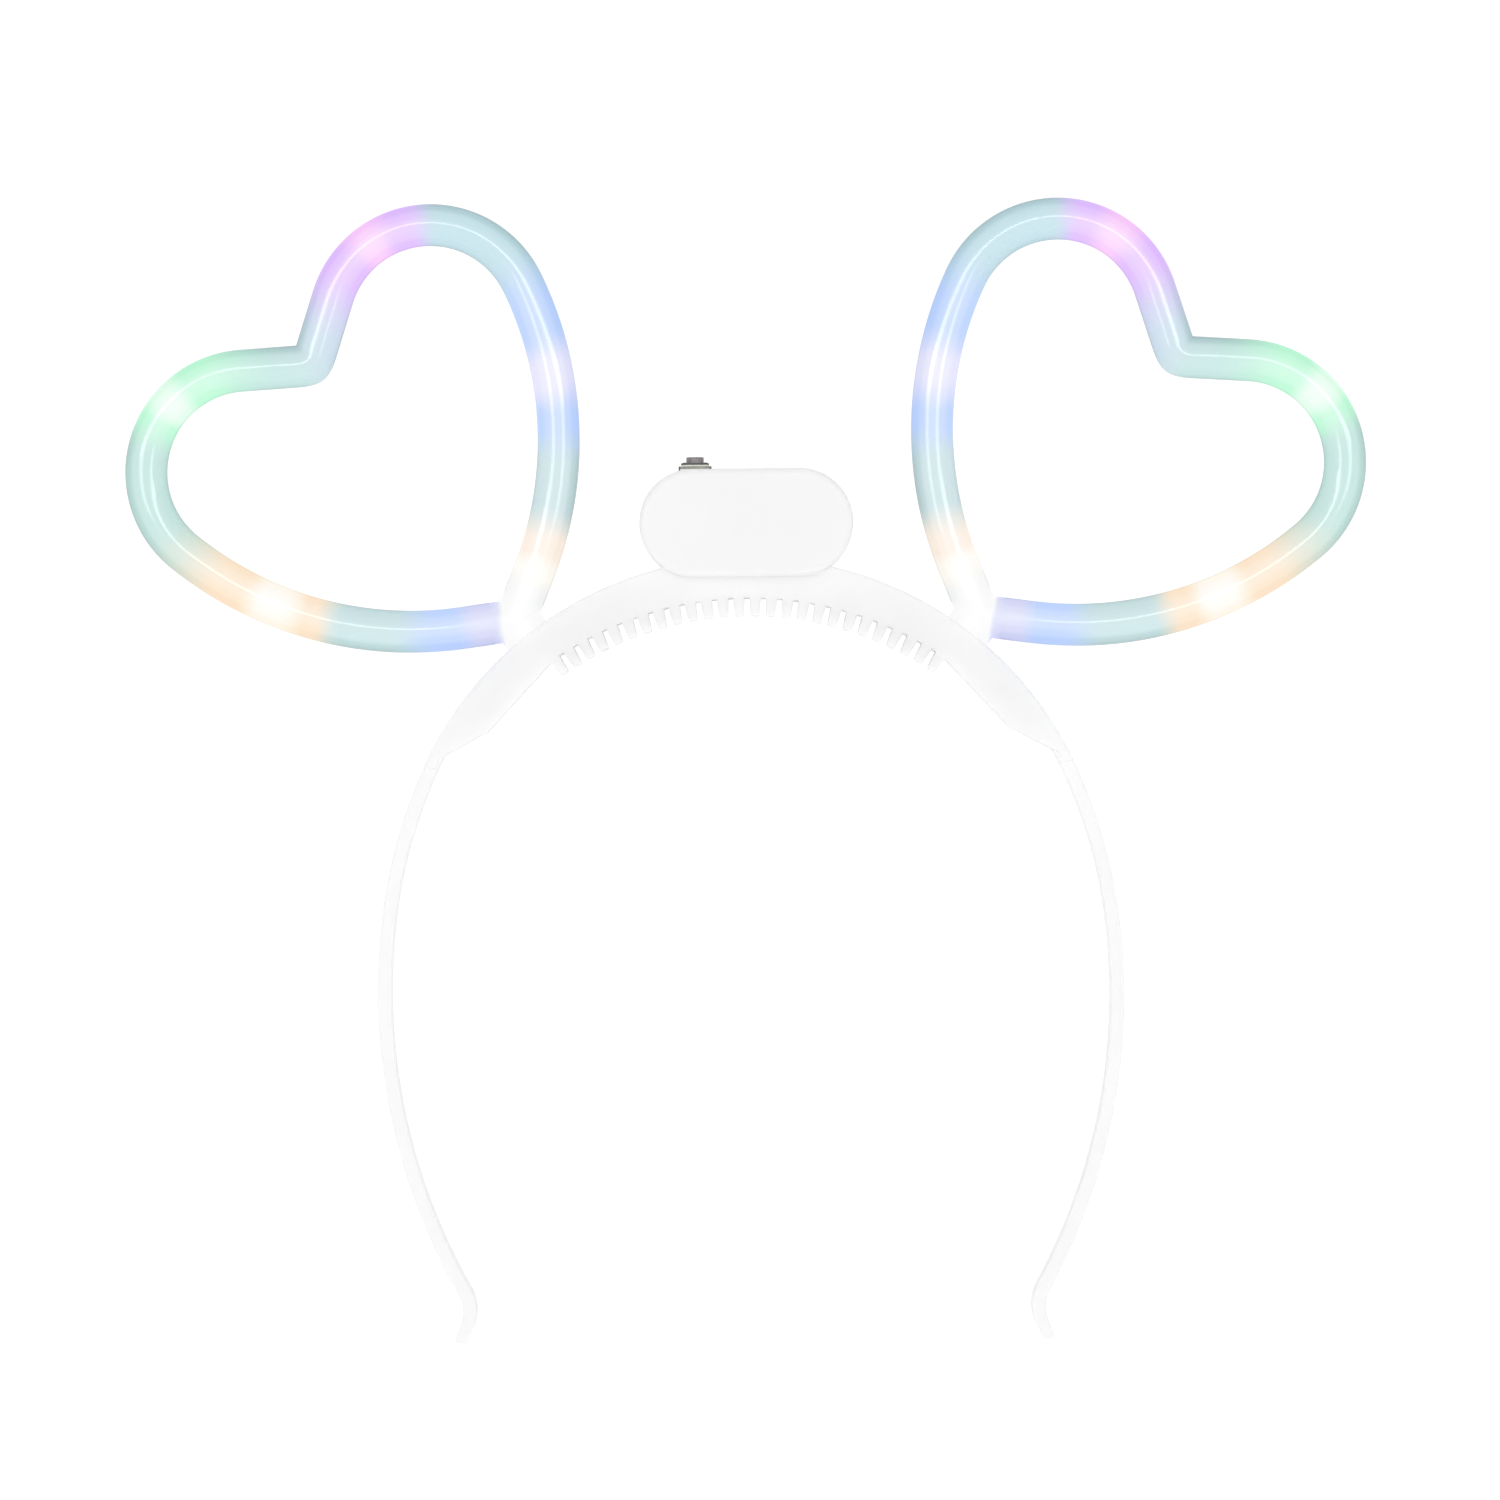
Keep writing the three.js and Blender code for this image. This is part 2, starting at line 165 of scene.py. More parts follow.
def close_mesh():
    """Merge doubled points, turn every face outwards and leave edit mode."""
    bpy.ops.mesh.select_all(action="SELECT")
    bpy.ops.mesh.remove_doubles(threshold=MERGE_REACH * MM)
    bpy.ops.mesh.normals_make_consistent(inside=False)
    bpy.ops.object.mode_set(mode="OBJECT")


def pick(kind, wanted):
    """In edit mode, select only the vertices, edges or faces that pass a test."""
    bpy.ops.mesh.select_all(action="DESELECT")
    bpy.ops.mesh.select_mode(type=kind)
    mesh = bmesh.from_edit_mesh(bpy.context.edit_object.data)
    parts = {"VERT": mesh.verts, "EDGE": mesh.edges, "FACE": mesh.faces}[kind]
    found = [part for part in parts if wanted(part)]
    for part in found:
        part.select_set(True)
    mesh.select_flush_mode()
    bmesh.update_edit_mesh(bpy.context.edit_object.data)
    return len(found)


def apply_modifier(piece, kind, **settings):
    hold(piece)
    modifier = piece.modifiers.new(kind, kind)
    for name, value in settings.items():
        setattr(modifier, name, value)
    bpy.ops.object.modifier_apply(modifier=modifier.name)


def mirror(piece, **settings):
    """Add a piece's mirror image across the mid plane."""
    apply_modifier(piece, "MIRROR", use_axis=(True, False, False), **settings)


def weld(piece, operation, other):
    """Join another solid to a piece, or cut it away, and use that solid up."""
    apply_modifier(piece, "BOOLEAN", operation=operation, solver="EXACT", object=other)
    bpy.data.objects.remove(other)


print("hand tools ready")

# %% [markdown]
# ## Tracing with spin and extrude
#
# The crown, the legs and the hearts are all made of arcs that run into each other. By hand, such a shape
# is traced: a point or a ring of edges is spun about the centre of one arc, then about the next, and is
# extruded where the line is straight. Without a window, Spin counts its angle clockwise, so the helper
# below turns the sign round and every angle in this file is anticlockwise, seen from the front.

# %% Helpers for tracing
NEARLY = 0.9                          # shares of a full length that count as along and as across
HARDLY = 0.1
EDGE_STEPS = 3                        # faces across a rounded edge
FINE_STEPS = 2


def on_circle(centre, radius, degrees):
    angle = math.radians(degrees)
    return centre + Vector((math.cos(angle), math.sin(angle), 0)) * radius * MM


def turned(vector, degrees):
    angle = math.radians(degrees)
    across = Vector((-vector.y, vector.x, 0))
    return vector * math.cos(angle) + across * math.sin(angle)


def start_line(name, point):
    """Begin a traced outline with a single vertex, and stay in edit mode."""
    let_go()
    bpy.ops.mesh.primitive_plane_add(size=MM, location=point)
    piece = named(name)
    open_mesh(piece)
    bpy.ops.mesh.merge(type="CENTER")
    return piece


def line_to(point):
    """Extrude what is selected in a straight line, so that its middle comes to a point."""
    mesh = bmesh.from_edit_mesh(bpy.context.edit_object.data)
    chosen = [vertex.co for vertex in mesh.verts if vertex.select]
    step = point - sum(chosen, Vector()) / len(chosen)
    bpy.ops.mesh.extrude_region_move(TRANSFORM_OT_translate={"value": step})


def sweep_round(centre, degrees, steps):
    bpy.ops.mesh.spin(steps=steps, angle=math.radians(-degrees), center=centre, axis=(0, 0, 1))


def on_rim(edge):
    """True on an edge between a face that looks along Z and one that looks sideways."""
    slopes = sorted(abs(face.normal.z) for face in edge.link_faces)
    return len(slopes) == 2 and slopes[0] < HARDLY and slopes[1] > NEARLY


def upright(edge):
    start, end = (vertex.co for vertex in edge.verts)
    return abs(end.z - start.z) > NEARLY * (end - start).length


def ease(piece, wanted, width, steps):
    """Round the edges that pass a test, as the corners of a mould are rounded."""
    open_mesh(piece)
    count = pick("EDGE", wanted)
    bpy.ops.mesh.bevel(offset=width * MM, segments=steps, affect="EDGES", clamp_overlap=True)
    close_mesh()
    return count


print("tracing tools ready")

# %% [markdown]
# ## Crown
#
# The crown is the thick arched top of the band, moulded in one piece with the rest. Its outer edge is one
# arc and its underside another with a lower centre, so it is thickest in the middle. Towards each leg the
# underside turns out along a short heel. It could be cut out of a disc with booleans, but the outline is
# simpler to trace: half of it is drawn, filled, made thick, mirrored, and its edges are rounded.

# %% Crown
CROWN_RADIUS = 64.6
CROWN_END_DEGREES = 25.2
UNDERSIDE_RADIUS = 62
UNDERSIDE_END_DEGREES = 55.7
HEEL = place(47, -37.15)
HEEL_END = place(55.6, -41.75)
LEG_THICKNESS = 2.56
LEG_ROOT_DROP = 0.6
CROWN_EDGE = 0.35
CROWN_STEPS = 54
UNDERSIDE_STEPS = 28
STRAIGHT_DEGREES = 0.5                # corners flatter than this are dissolved


def in_mid_plane(face):
    return abs(face.normal.x) > NEARLY and abs(face.calc_center_median().x) < MIDDLE_REACH * MM


crown = start_line("headband_moulding", CROWN_CENTRE + Vector((0, CROWN_RADIUS * MM, 0)))
sweep_round(CROWN_CENTRE, CROWN_END_DEGREES - 90, CROWN_STEPS)
leg_root = on_circle(CROWN_CENTRE, CROWN_RADIUS, CROWN_END_DEGREES)
leg_root.x -= LEG_THICKNESS * math.cos(math.radians(CROWN_END_DEGREES)) * MM
leg_root.y -= LEG_ROOT_DROP * MM
underside_end = on_circle(UNDERSIDE_CENTRE, UNDERSIDE_RADIUS, UNDERSIDE_END_DEGREES)
for corner in (leg_root, HEEL_END, HEEL, underside_end):
    line_to(corner)
sweep_round(UNDERSIDE_CENTRE, 90 - UNDERSIDE_END_DEGREES, UNDERSIDE_STEPS)
bpy.ops.mesh.select_all(action="SELECT")
bpy.ops.mesh.edge_face_add()
bpy.ops.mesh.extrude_region_move(TRANSFORM_OT_translate={"value": (0, 0, CROWN_DEPTH * MM)})
pick("FACE", in_mid_plane)
bpy.ops.mesh.delete(type="FACE")
close_mesh()
mirror(crown, use_clip=True, merge_threshold=MIDDLE_REACH * MM)
open_mesh(crown)
bpy.ops.mesh.dissolve_limited(angle_limit=math.radians(STRAIGHT_DEGREES))
close_mesh()
rims = ease(crown, on_rim, CROWN_EDGE, EDGE_STEPS)
print(f"crown with {len(crown.data.polygons)} faces and {rims} rounded edges")

# %% [markdown]
# ## Legs
#
# Each leg is a thin springy strip that hugs the head and ends in a small turned-out foot. A curve with a
# bevel profile could draw it, but four arcs describe it exactly: a section with rounded corners is spun
# through them one after another. The foot is a little thinner, and its toe is rounded by short extrusions
# that shrink as they go. The other leg is the mirror image.

# %% Legs
LEG_DEPTH = 6.8
LEG_CORNER = 0.45
ROOT_INSET = 0.05                     # keeps the leg's root just inside the crown
LEG_START_DEGREES = 29
CROWN_STRETCH_DEGREES = -4.4          # what the leg's root follows of the crown's own arc
FOOT_THICKNESS = 2.3
FOOT_LENGTH = 2.3
TOE_STEPS = 5
TOE_END_DEGREES = 80
LEG_MIDDLE_RADIUS = CROWN_RADIUS - LEG_THICKNESS / 2
# radius of each bend, the angle that it turns through, and its steps
LEG_BENDS = [
    (LEG_MIDDLE_RADIUS, CROWN_STRETCH_DEGREES, 4),
    (90, -16.8, 14),
    (109.8, -36.9, 30),
    (7, 53, 14),
]


def section_ring(name, point, degrees, across, depth, corner):
    """A ring of edges with rounded corners, across the way that a strip runs, opened in edit mode."""
    let_go()
    turn = (math.pi / 2, 0, math.radians(degrees))
    bpy.ops.mesh.primitive_plane_add(size=1, location=point, rotation=turn)
    bpy.context.object.scale = (across * MM, depth * MM, 1)
    ring = named(name)
    open_mesh(ring)
    bpy.ops.mesh.bevel(offset=corner * MM, segments=EDGE_STEPS, affect="VERTICES")
    bpy.ops.mesh.delete(type="ONLY_FACE")
    bpy.ops.mesh.select_all(action="SELECT")
    return ring


def narrow(share, point):
    """Make the selected ring thinner, with its depth left as it is."""
    bpy.ops.transform.resize(value=(share, share, 1), center_override=point)


point = on_circle(CROWN_CENTRE, LEG_MIDDLE_RADIUS, LEG_START_DEGREES)
point.z = CROWN_DEPTH / 2 * MM
heading = turned(Vector((0, -1, 0)), LEG_START_DEGREES)
legs = section_ring("legs", point, LEG_START_DEGREES, LEG_THICKNESS - 2 * ROOT_INSET, LEG_DEPTH, LEG_CORNER)
for radius, degrees, steps in LEG_BENDS:
    centre = point + turned(heading, math.copysign(90, degrees)) * radius * MM
    sweep_round(centre, degrees, steps)
    point = centre + turned(point - centre, degrees)
    heading = turned(heading, degrees)
narrow(FOOT_THICKNESS / LEG_THICKNESS, point)
point = point + heading * FOOT_LENGTH * MM
line_to(point)
reach, width = 0, 1
for step in range(1, TOE_STEPS + 1):
    angle = math.radians(TOE_END_DEGREES * step / TOE_STEPS)
    point = point + heading * (math.sin(angle) - reach) * FOOT_THICKNESS / 2 * MM
    line_to(point)
    narrow(math.cos(angle) / width, point)
    reach, width = math.sin(angle), math.cos(angle)
bpy.ops.mesh.edge_face_add()
pick("EDGE", lambda edge: len(edge.link_faces) == 1)
bpy.ops.mesh.edge_face_add()
close_mesh()
mirror(legs)
print(f"two legs, down to y = {min(v.co.y for v in legs.data.vertices) / MM:.2f} mm")

# %% [markdown]
# ## Comb
#
# Twenty-six short teeth under the crown hold the band in the hair. They are all alike, so one tooth is
# shaped from a cube: its tip is drawn in a little and rounded, and its long edges are eased. Spin can
# also make loose copies instead of a skin, and that sets the row of teeth out along the underside's arc.

# %% Comb
TEETH = 26
TOOTH_PITCH_DEGREES = 2.72
TOOTH_LENGTH = 3.2
TOOTH_ROOT_WIDTH = 2.15
TOOTH_TIP_WIDTH = 1.6
TOOTH_TIP_CORNER = 0.42
TOOTH_TIP_STEPS = 5
TOOTH_DEPTH = 7.96
TOOTH_ROOT = 0.6                      # how far a tooth reaches into the crown
TOOTH_EDGE = 0.12

tooth_reach = UNDERSIDE_RADIUS - (TOOTH_LENGTH - TOOTH_ROOT) / 2
tooth_middle = UNDERSIDE_CENTRE + Vector((0, tooth_reach, CROWN_DEPTH / 2)) * MM
comb = cuboid("comb", tooth_middle, (TOOTH_ROOT_WIDTH, TOOTH_LENGTH + TOOTH_ROOT, TOOTH_DEPTH))
open_mesh(comb)
pick("FACE", lambda face: face.normal.y < -NEARLY)
bpy.ops.transform.resize(value=(TOOTH_TIP_WIDTH / TOOTH_ROOT_WIDTH, 1, 1))
close_mesh()
ease(
    comb,
    lambda edge: upright(edge) and edge.verts[0].co.y < tooth_middle.y,
    TOOTH_TIP_CORNER,
    TOOTH_TIP_STEPS,
)
ease(comb, on_rim, TOOTH_EDGE, FINE_STEPS)
open_mesh(comb)
row_angle = math.radians((TEETH - 1) * TOOTH_PITCH_DEGREES)
# both operators count clockwise here: the first tooth goes left, and its copies follow to the right
bpy.ops.transform.rotate(value=-row_angle / 2, orient_axis="Z", center_override=UNDERSIDE_CENTRE)
bpy.ops.mesh.spin(steps=TEETH - 1, dupli=True, angle=row_angle, center=UNDERSIDE_CENTRE, axis=(0, 0, 1))
close_mesh()
comb_x = [vertex.co.x / MM for vertex in comb.data.vertices]
print(f"comb from x = {min(comb_x):.2f} to {max(comb_x):.2f} mm")

# %% [markdown]
# ## Socket collars
#
# Each heart stands on a short round stub of the crown that points along the heart's own axis, and its tip
# slips over the stub. A cylinder is enough of a start: its rim is eased, and its root is sunk in the crown.

# %% Collars
HEART_TILT_DEGREES = 38
COLLAR_RADIUS = 3.2
COLLAR_FACE = 65.1                    # distances from the crown's centre along the heart's axis
COLLAR_ROOT = 61
COLLAR_SIDES = 48
COLLAR_EDGE = 0.25
COLLAR_FACE_REACH = 0.1               # edges nearer than this to the face are its rim
HEART_AXIS_DEGREES = 90 - HEART_TILT_DEGREES

collar_middle = on_circle(CROWN_CENTRE, (COLLAR_FACE + COLLAR_ROOT) / 2, HEART_AXIS_DEGREES)
collar_middle.z = CROWN_DEPTH / 2 * MM
let_go()
bpy.ops.mesh.primitive_cylinder_add(
    vertices=COLLAR_SIDES,
    radius=COLLAR_RADIUS * MM,
    depth=(COLLAR_FACE - COLLAR_ROOT) * MM,
    location=collar_middle,
    rotation=(0, math.pi / 2, math.radians(HEART_AXIS_DEGREES)),
)
collars = named("collars")
collar_axis = on_circle(Vector(), 1, HEART_AXIS_DEGREES).normalized()


def on_collar_face(edge):
    reach = [(vertex.co - CROWN_CENTRE).dot(collar_axis) / MM for vertex in edge.verts]
    return min(reach) > COLLAR_FACE - COLLAR_FACE_REACH


ease(collars, on_collar_face, COLLAR_EDGE, FINE_STEPS)
mirror(collars)
print("two collars with", len(collars.data.polygons), "faces")

# %% [markdown]
# ## Battery case
#
# The case is a pill lying across the crown, moulded in two shells that meet a little above the crown's
# front face. The back shell is part of the band, and the front shell is clipped on. A pill is a cube whose
# four corner edges are bevelled until the ends are half circles. A second, smaller pill cuts the hollow for
# the cells, and a bisect at the parting plane gives each half. A square slot in the top takes the switch.

# %% Battery case
CASE_WALL = 1.6
CASE_EDGE = 1.1
PILL_STEPS = 24
CASE_EDGE_STEPS = 5
SWITCH_X = -9.1
SWITCH_SLOT = 6
SLOT_CUT = 4 * CASE_WALL              # more than enough to go through the wall


def pill(name, inset, bottom, top, edge):
    """A block with round ends, drawn in from the case's outline by the inset."""
    height = CASE_HEIGHT - 2 * inset
    size = (CASE_LENGTH - 2 * inset, height, top - bottom)
    shell = cuboid(name, place(0, 0, (bottom + top) / 2), size)
    ease(shell, upright, height / 2, PILL_STEPS)
    if edge:
        ease(shell, on_rim, edge, CASE_EDGE_STEPS)
    return shell


def keep_side(piece, height, front):
    """Cut a piece across at a height, cap the cut, and keep the part in front of it or behind it."""
    open_mesh(piece)
    bpy.ops.mesh.bisect(
        plane_co=(0, 0, height * MM),
        plane_no=(0, 0, 1),
        clear_inner=front,
        clear_outer=not front,
        use_fill=True,
    )
    close_mesh()


def case_hollow():
    return pill("case_hollow", CASE_WALL, CASE_WALL, CASE_DEPTH - CASE_WALL, 0)


def switch_slot():
    middle = place(SWITCH_X, CASE_HEIGHT / 2, CASE_DEPTH / 2)
    return cuboid("switch_slot", middle, (SWITCH_SLOT, SLOT_CUT, SWITCH_SLOT))


case_front_shell = pill("case_front_shell", 0, 0, CASE_DEPTH, CASE_EDGE)
keep_side(case_front_shell, PARTING, front=True)
weld(case_front_shell, "DIFFERENCE", case_hollow())
weld(case_front_shell, "DIFFERENCE", switch_slot())

case_back = pill("case_back", 0, 0, CASE_DEPTH, CASE_EDGE)
keep_side(case_back, CROWN_DEPTH, front=False)
print("front shell with", len(case_front_shell.data.polygons), "faces")

# %% [markdown]
# ## One moulding
#
# Crown, legs, comb, collars and the back of the case come out of one mould, so they become one mesh here
# too. The Boolean modifier with its exact solver joins them and cleans up what ends inside. Shading is
# then smoothed by angle, and the Weighted Normal modifier keeps the large flat faces flat beside their
# rounded edges.

# %% Join the moulding
SMOOTH_DEGREES = 40


def smooth(piece):
    hold(piece)
    bpy.ops.object.shade_smooth_by_angle(angle=math.radians(SMOOTH_DEGREES))
    apply_modifier(piece, "WEIGHTED_NORMAL", keep_sharp=True)


for limb in (case_back, legs, comb, collars):
    weld(crown, "UNION", limb)
weld(crown, "DIFFERENCE", case_hollow())
weld(crown, "DIFFERENCE", switch_slot())
smooth(crown)
smooth(case_front_shell)
print(f"moulding with {len(crown.data.polygons)} faces")

# %% [markdown]
# ## Heart tubes
#
# Each heart is one frosted tube, bent hot round a former: a straight neck, a round lobe, a long gently
# curved side that ends straight, and a tight kink at the notch. A curve object with a round bevel would
# pinch at that kink, so a ring of edges is spun through the arcs of one arm. At the notch it turns about a
# point on its own skin, which leaves the outside sharp and the inside round, as in the real tube. The other
# arm is the mirror image. Where the arms meet, a short sleeve is welded on. It is cut to the crown's round
# edge and bored for the collar that it slips over.

# %% Arcs of one arm
LOBE_CENTRE = Vector((21, 11.8, 0)) * MM
LOBE_RADIUS = 18.4
NECK_DEGREES = 124.3                  # where the lobe's arc leaves the straight neck
SIDE_DEGREES = -12.6                  # where the lobe's arc passes into the side's arc
SIDE_RADIUS = 65.1
TIP_STRAIGHT_DEGREES = 8              # how much of the side's arc is left straight at the tip
TIP_OVERRUN = 5                       # length past the mirror plane, which is cut off there
NOTCH_BEND_RADIUS = 3.88              # of the tube's middle line, just over the tube's own radius

side_centre = on_circle(LOBE_CENTRE, LOBE_RADIUS - SIDE_RADIUS, SIDE_DEGREES)
tip_degrees = -math.degrees(math.acos(-side_centre.x / MM / SIDE_RADIUS))
neck_end = on_circle(LOBE_CENTRE, LOBE_RADIUS, NECK_DEGREES)
neck_heading = turned(on_circle(Vector(), 1, NECK_DEGREES).normalized(), -90)
neck_length = neck_end.x / neck_heading.x
notch = neck_end - neck_heading * neck_length
notch_degrees = math.degrees(math.asin(neck_heading.y))
notch_pivot = notch + Vector((0, NOTCH_BEND_RADIUS * MM / neck_heading.x, 0))
bend_start = notch + neck_heading * (notch_pivot - notch).dot(neck_heading)

straight_degrees = tip_degrees + TIP_STRAIGHT_DEGREES
straight_end = on_circle(side_centre, SIDE_RADIUS, straight_degrees)
tip_heading = turned(on_circle(Vector(), 1, straight_degrees).normalized(), -90)
tip_run = straight_end.x / MM / -tip_heading.x + TIP_OVERRUN
print(f"neck of {neck_length / MM:.1f} mm, bent {notch_degrees:.1f} degrees at the notch")

# %% Sweep the tube
TUBE_RADIUS = 3.8
TUBE_SIDES = 40
TIP_STEPS = 14
SIDE_STEPS = 46
LOBE_STEPS = 56
NOTCH_STEPS = 10
NOTCH_BULGE = 1.055                   # the kink swells a little on its outside
BULGE_REACH = 4.5

let_go()
bpy.ops.mesh.primitive_circle_add(
    vertices=TUBE_SIDES,
    radius=TUBE_RADIUS * MM,
    location=straight_end + tip_heading * tip_run * MM,
    rotation=(math.pi / 2, 0, math.radians(straight_degrees)),
)
right_tube = named("right_heart_glow_tube")
open_mesh(right_tube)
for step in reversed(range(TIP_STEPS)):
    line_to(straight_end + tip_heading * tip_run * step / TIP_STEPS * MM)
sweep_round(side_centre, SIDE_DEGREES - straight_degrees, SIDE_STEPS)
sweep_round(LOBE_CENTRE, NECK_DEGREES - SIDE_DEGREES, LOBE_STEPS)
line_to((neck_end + bend_start) / 2)
line_to(bend_start)
sweep_round(notch_pivot, -notch_degrees, NOTCH_STEPS)
bpy.ops.mesh.select_all(action="SELECT")
bpy.ops.mesh.bisect(plane_co=(0, 0, 0), plane_no=(1, 0, 0), clear_inner=True)
close_mesh()
mirror(right_tube, use_clip=True, merge_threshold=MIDDLE_REACH * MM)
open_mesh(right_tube)
pick("VERT", lambda vertex: abs(vertex.co.x) < MIDDLE_REACH * MM and 0 < vertex.co.y < notch_pivot.y)
bpy.ops.transform.resize(
    value=(1, NOTCH_BULGE, 1),
    center_override=notch_pivot,
    use_proportional_edit=True,
    proportional_size=BULGE_REACH * MM,
)
close_mesh()
print(f"heart loop with {len(right_tube.data.polygons)} faces")

# %% Sleeve at the tip
SLEEVE_WIDTH = 8.8
SLEEVE_DEPTH = 7.5
SLEEVE_TOP = 2.2                      # above the crown's edge, hidden between the arms
SLEEVE_GAP = 0.05
ROD_SIDES = 64
CROWN_SIDES = 512                     # enough for the cut to follow the crown's round edge
heart_reach = (HEART_MIDDLE - CROWN_CENTRE).dot(collar_axis) / MM


def rod(name, width, depth, bottom, top):
    """A round or oval bar on the heart's axis, between two distances from the crown's centre."""
    middle = Vector((0, (bottom + top) / 2 - heart_reach, 0)) * MM
    let_go()
    bpy.ops.mesh.primitive_cylinder_add(vertices=ROD_SIDES, radius=0.5, depth=1, location=middle)
    bpy.context.object.rotation_euler.x = math.pi / 2
    bpy.context.object.scale = Vector((width, depth, top - bottom)) * MM
    return named(name)


weld(right_tube, "UNION", rod("sleeve", SLEEVE_WIDTH, SLEEVE_DEPTH, COLLAR_ROOT, CROWN_RADIUS + SLEEVE_TOP))
let_go()
bpy.ops.mesh.primitive_cylinder_add(
    vertices=CROWN_SIDES,
    radius=(CROWN_RADIUS + SLEEVE_GAP) * MM,
    depth=4 * TUBE_RADIUS * MM,
    location=(0, -heart_reach * MM, 0),
)
weld(right_tube, "DIFFERENCE", named("crown_edge"))
bore = 2 * (COLLAR_RADIUS + SLEEVE_GAP)
weld(right_tube, "DIFFERENCE", rod("collar_bore", bore, bore, COLLAR_ROOT, COLLAR_FACE + SLEEVE_GAP))
print(f"heart tube with {len(right_tube.data.polygons)} faces")

# %% [markdown]
# ## Distance along the tube
#
# The lights inside colour the tube by how far along it they sit, not by where that is in space. So every
# point of the mesh is given its distance from the notch, measured along the arm's own arcs, and how far it
# lies off the tube's middle line, from -1 on the side of the heart's opening to 1 on the outside. A third
# value is 1 on the inner arm, beside the case, and 0 on the outer one, and passes over softly at the notch.
# At the tip, where both arms are full of light, the second value fades to 0. The material reads all three
# as attributes.

# %% Distance along the tube
NOTCH_BLEND = 5                       # reach of the change between the arms, each way
TIP_BLEND = 0.2
TIP_EVEN_FROM = 116                   # distances between which the colour evens out across the tip
TIP_EVEN_TO = 118.3
lobe_length = LOBE_RADIUS * math.radians(NECK_DEGREES - SIDE_DEGREES)
side_length = SIDE_RADIUS * math.radians(SIDE_DEGREES - straight_degrees)


def on_line(point, start, heading):
    """How far along a straight stretch a point lies, and how far to its left, in millimetres."""
    return (point - start).dot(heading) / MM, (point - start).dot(turned(heading, 90)) / MM


def place_on_arm(point):
    """Distance from the notch along an arm in mm, and offset from its middle line in tube radii."""
    right = Vector((abs(point.x), point.y, 0))
    from_lobe = right - LOBE_CENTRE
    from_side = right - side_centre
    side_degrees = math.degrees(math.atan2(from_side.y, from_side.x))
    degrees = math.degrees(math.atan2(from_lobe.y, from_lobe.x))
    if degrees > NECK_DEGREES:
        distance, offset = on_line(right, notch, neck_heading)
    elif degrees > SIDE_DEGREES:
        distance = neck_length / MM + LOBE_RADIUS * math.radians(NECK_DEGREES - degrees)
        offset = from_lobe.length / MM - LOBE_RADIUS
    elif side_degrees > straight_degrees:
        distance = neck_length / MM + lobe_length + SIDE_RADIUS * math.radians(SIDE_DEGREES - side_degrees)
        offset = from_side.length / MM - SIDE_RADIUS
    else:
        run, offset = on_line(right, straight_end, tip_heading)
        distance = neck_length / MM + lobe_length + side_length + run
    uneven = min(1, max(0, (TIP_EVEN_TO - distance) / (TIP_EVEN_TO - TIP_EVEN_FROM)))
    return max(0, distance), offset / TUBE_RADIUS * uneven


def inner_share(point):
    blend = NOTCH_BLEND if point.y > notch.y - 2 * TUBE_RADIUS * MM else TIP_BLEND
    return min(1, max(0, 0.5 - point.x / MM / blend / 2))


tube_mesh = right_tube.data
places = [(*place_on_arm(vertex.co), inner_share(vertex.co)) for vertex in tube_mesh.vertices]
for index, name in enumerate(("along", "flank", "inner")):
    attribute = tube_mesh.attributes.new(name, "FLOAT", "POINT")
    attribute.data.foreach_set("value", [values[index] for values in places])
ARM_LENGTH = max(values[0] for values in places)
print(f"each arm is {ARM_LENGTH:.1f} mm long")

# %% Place both hearts
right_tube.location = HEART_MIDDLE
right_tube.rotation_euler.z = math.radians(-HEART_TILT_DEGREES)
hold(right_tube)
settle()
bpy.ops.object.shade_smooth_by_angle(angle=math.radians(SMOOTH_DEGREES))
bpy.ops.object.duplicate(linked=False)
left_tube = bpy.context.object
left_tube.name = "left_heart_glow_tube"
left_tube.data.name = left_tube.name
left_tube.scale.x = -1
settle()
open_mesh(left_tube)
close_mesh()
heart_x = [vertex.co.x / MM for vertex in right_tube.data.vertices]
print(f"right heart from x = {min(heart_x):.2f} to {max(heart_x):.2f} mm")

# %% [markdown]
# ## Push switch
#
# A common little push switch sits in the slot: a moulded body, a pressed metal cover with two bent tabs, a
# pale spacer, a dark retaining plate with four rivet heads, and the fluted plunger that moves. Each is
# built lying flat with its axis up, and is then tipped so that the axis points out of the top of the case.

# %% Sizes of the switch
switch_low, switch_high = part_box("switch_frame")
button_low, button_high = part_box("switch_button")
SWITCH_TOP = switch_high.y / MM - case_middle_y
SWITCH_BOTTOM = switch_low.y / MM - case_middle_y
BUTTON_TOP = button_high.y / MM - case_middle_y
BUTTON_BOTTOM = button_low.y / MM - case_middle_y
BUTTON_RADIUS = (button_high.x - button_low.x) / 2 / MM
BUTTON_PLAY = 0.3
BORE_RADIUS = BUTTON_RADIUS + BUTTON_PLAY
BORE_OVERRUN = 1                      # how far a bore is drilled past its piece
COVER_SIDE = (switch_high.x - switch_low.x) / MM
COVER_THICKNESS = 0.35
SPACER_THICKNESS = 0.3
RETAINER_THICKNESS = 0.3
SPACER_TOP = SWITCH_TOP - RETAINER_THICKNESS
COVER_TOP = SPACER_TOP - SPACER_THICKNESS
COVER_BOTTOM = COVER_TOP - COVER_THICKNESS
print(f"switch with a {COVER_SIDE:.1f} mm cover and a {2 * BUTTON_RADIUS:.1f} mm plunger")

# %% Helpers for the switch
ROUND_SIDES = 32


def block(name, side, bottom, top, corner):
    """A square plate or block on the switch's axis, lying flat, with its four corners rounded."""
    piece = cuboid(name, Vector((0, 0, (bottom + top) / 2)) * MM, (side, side, top - bottom))
    ease(piece, upright, corner, EDGE_STEPS)
    return piece


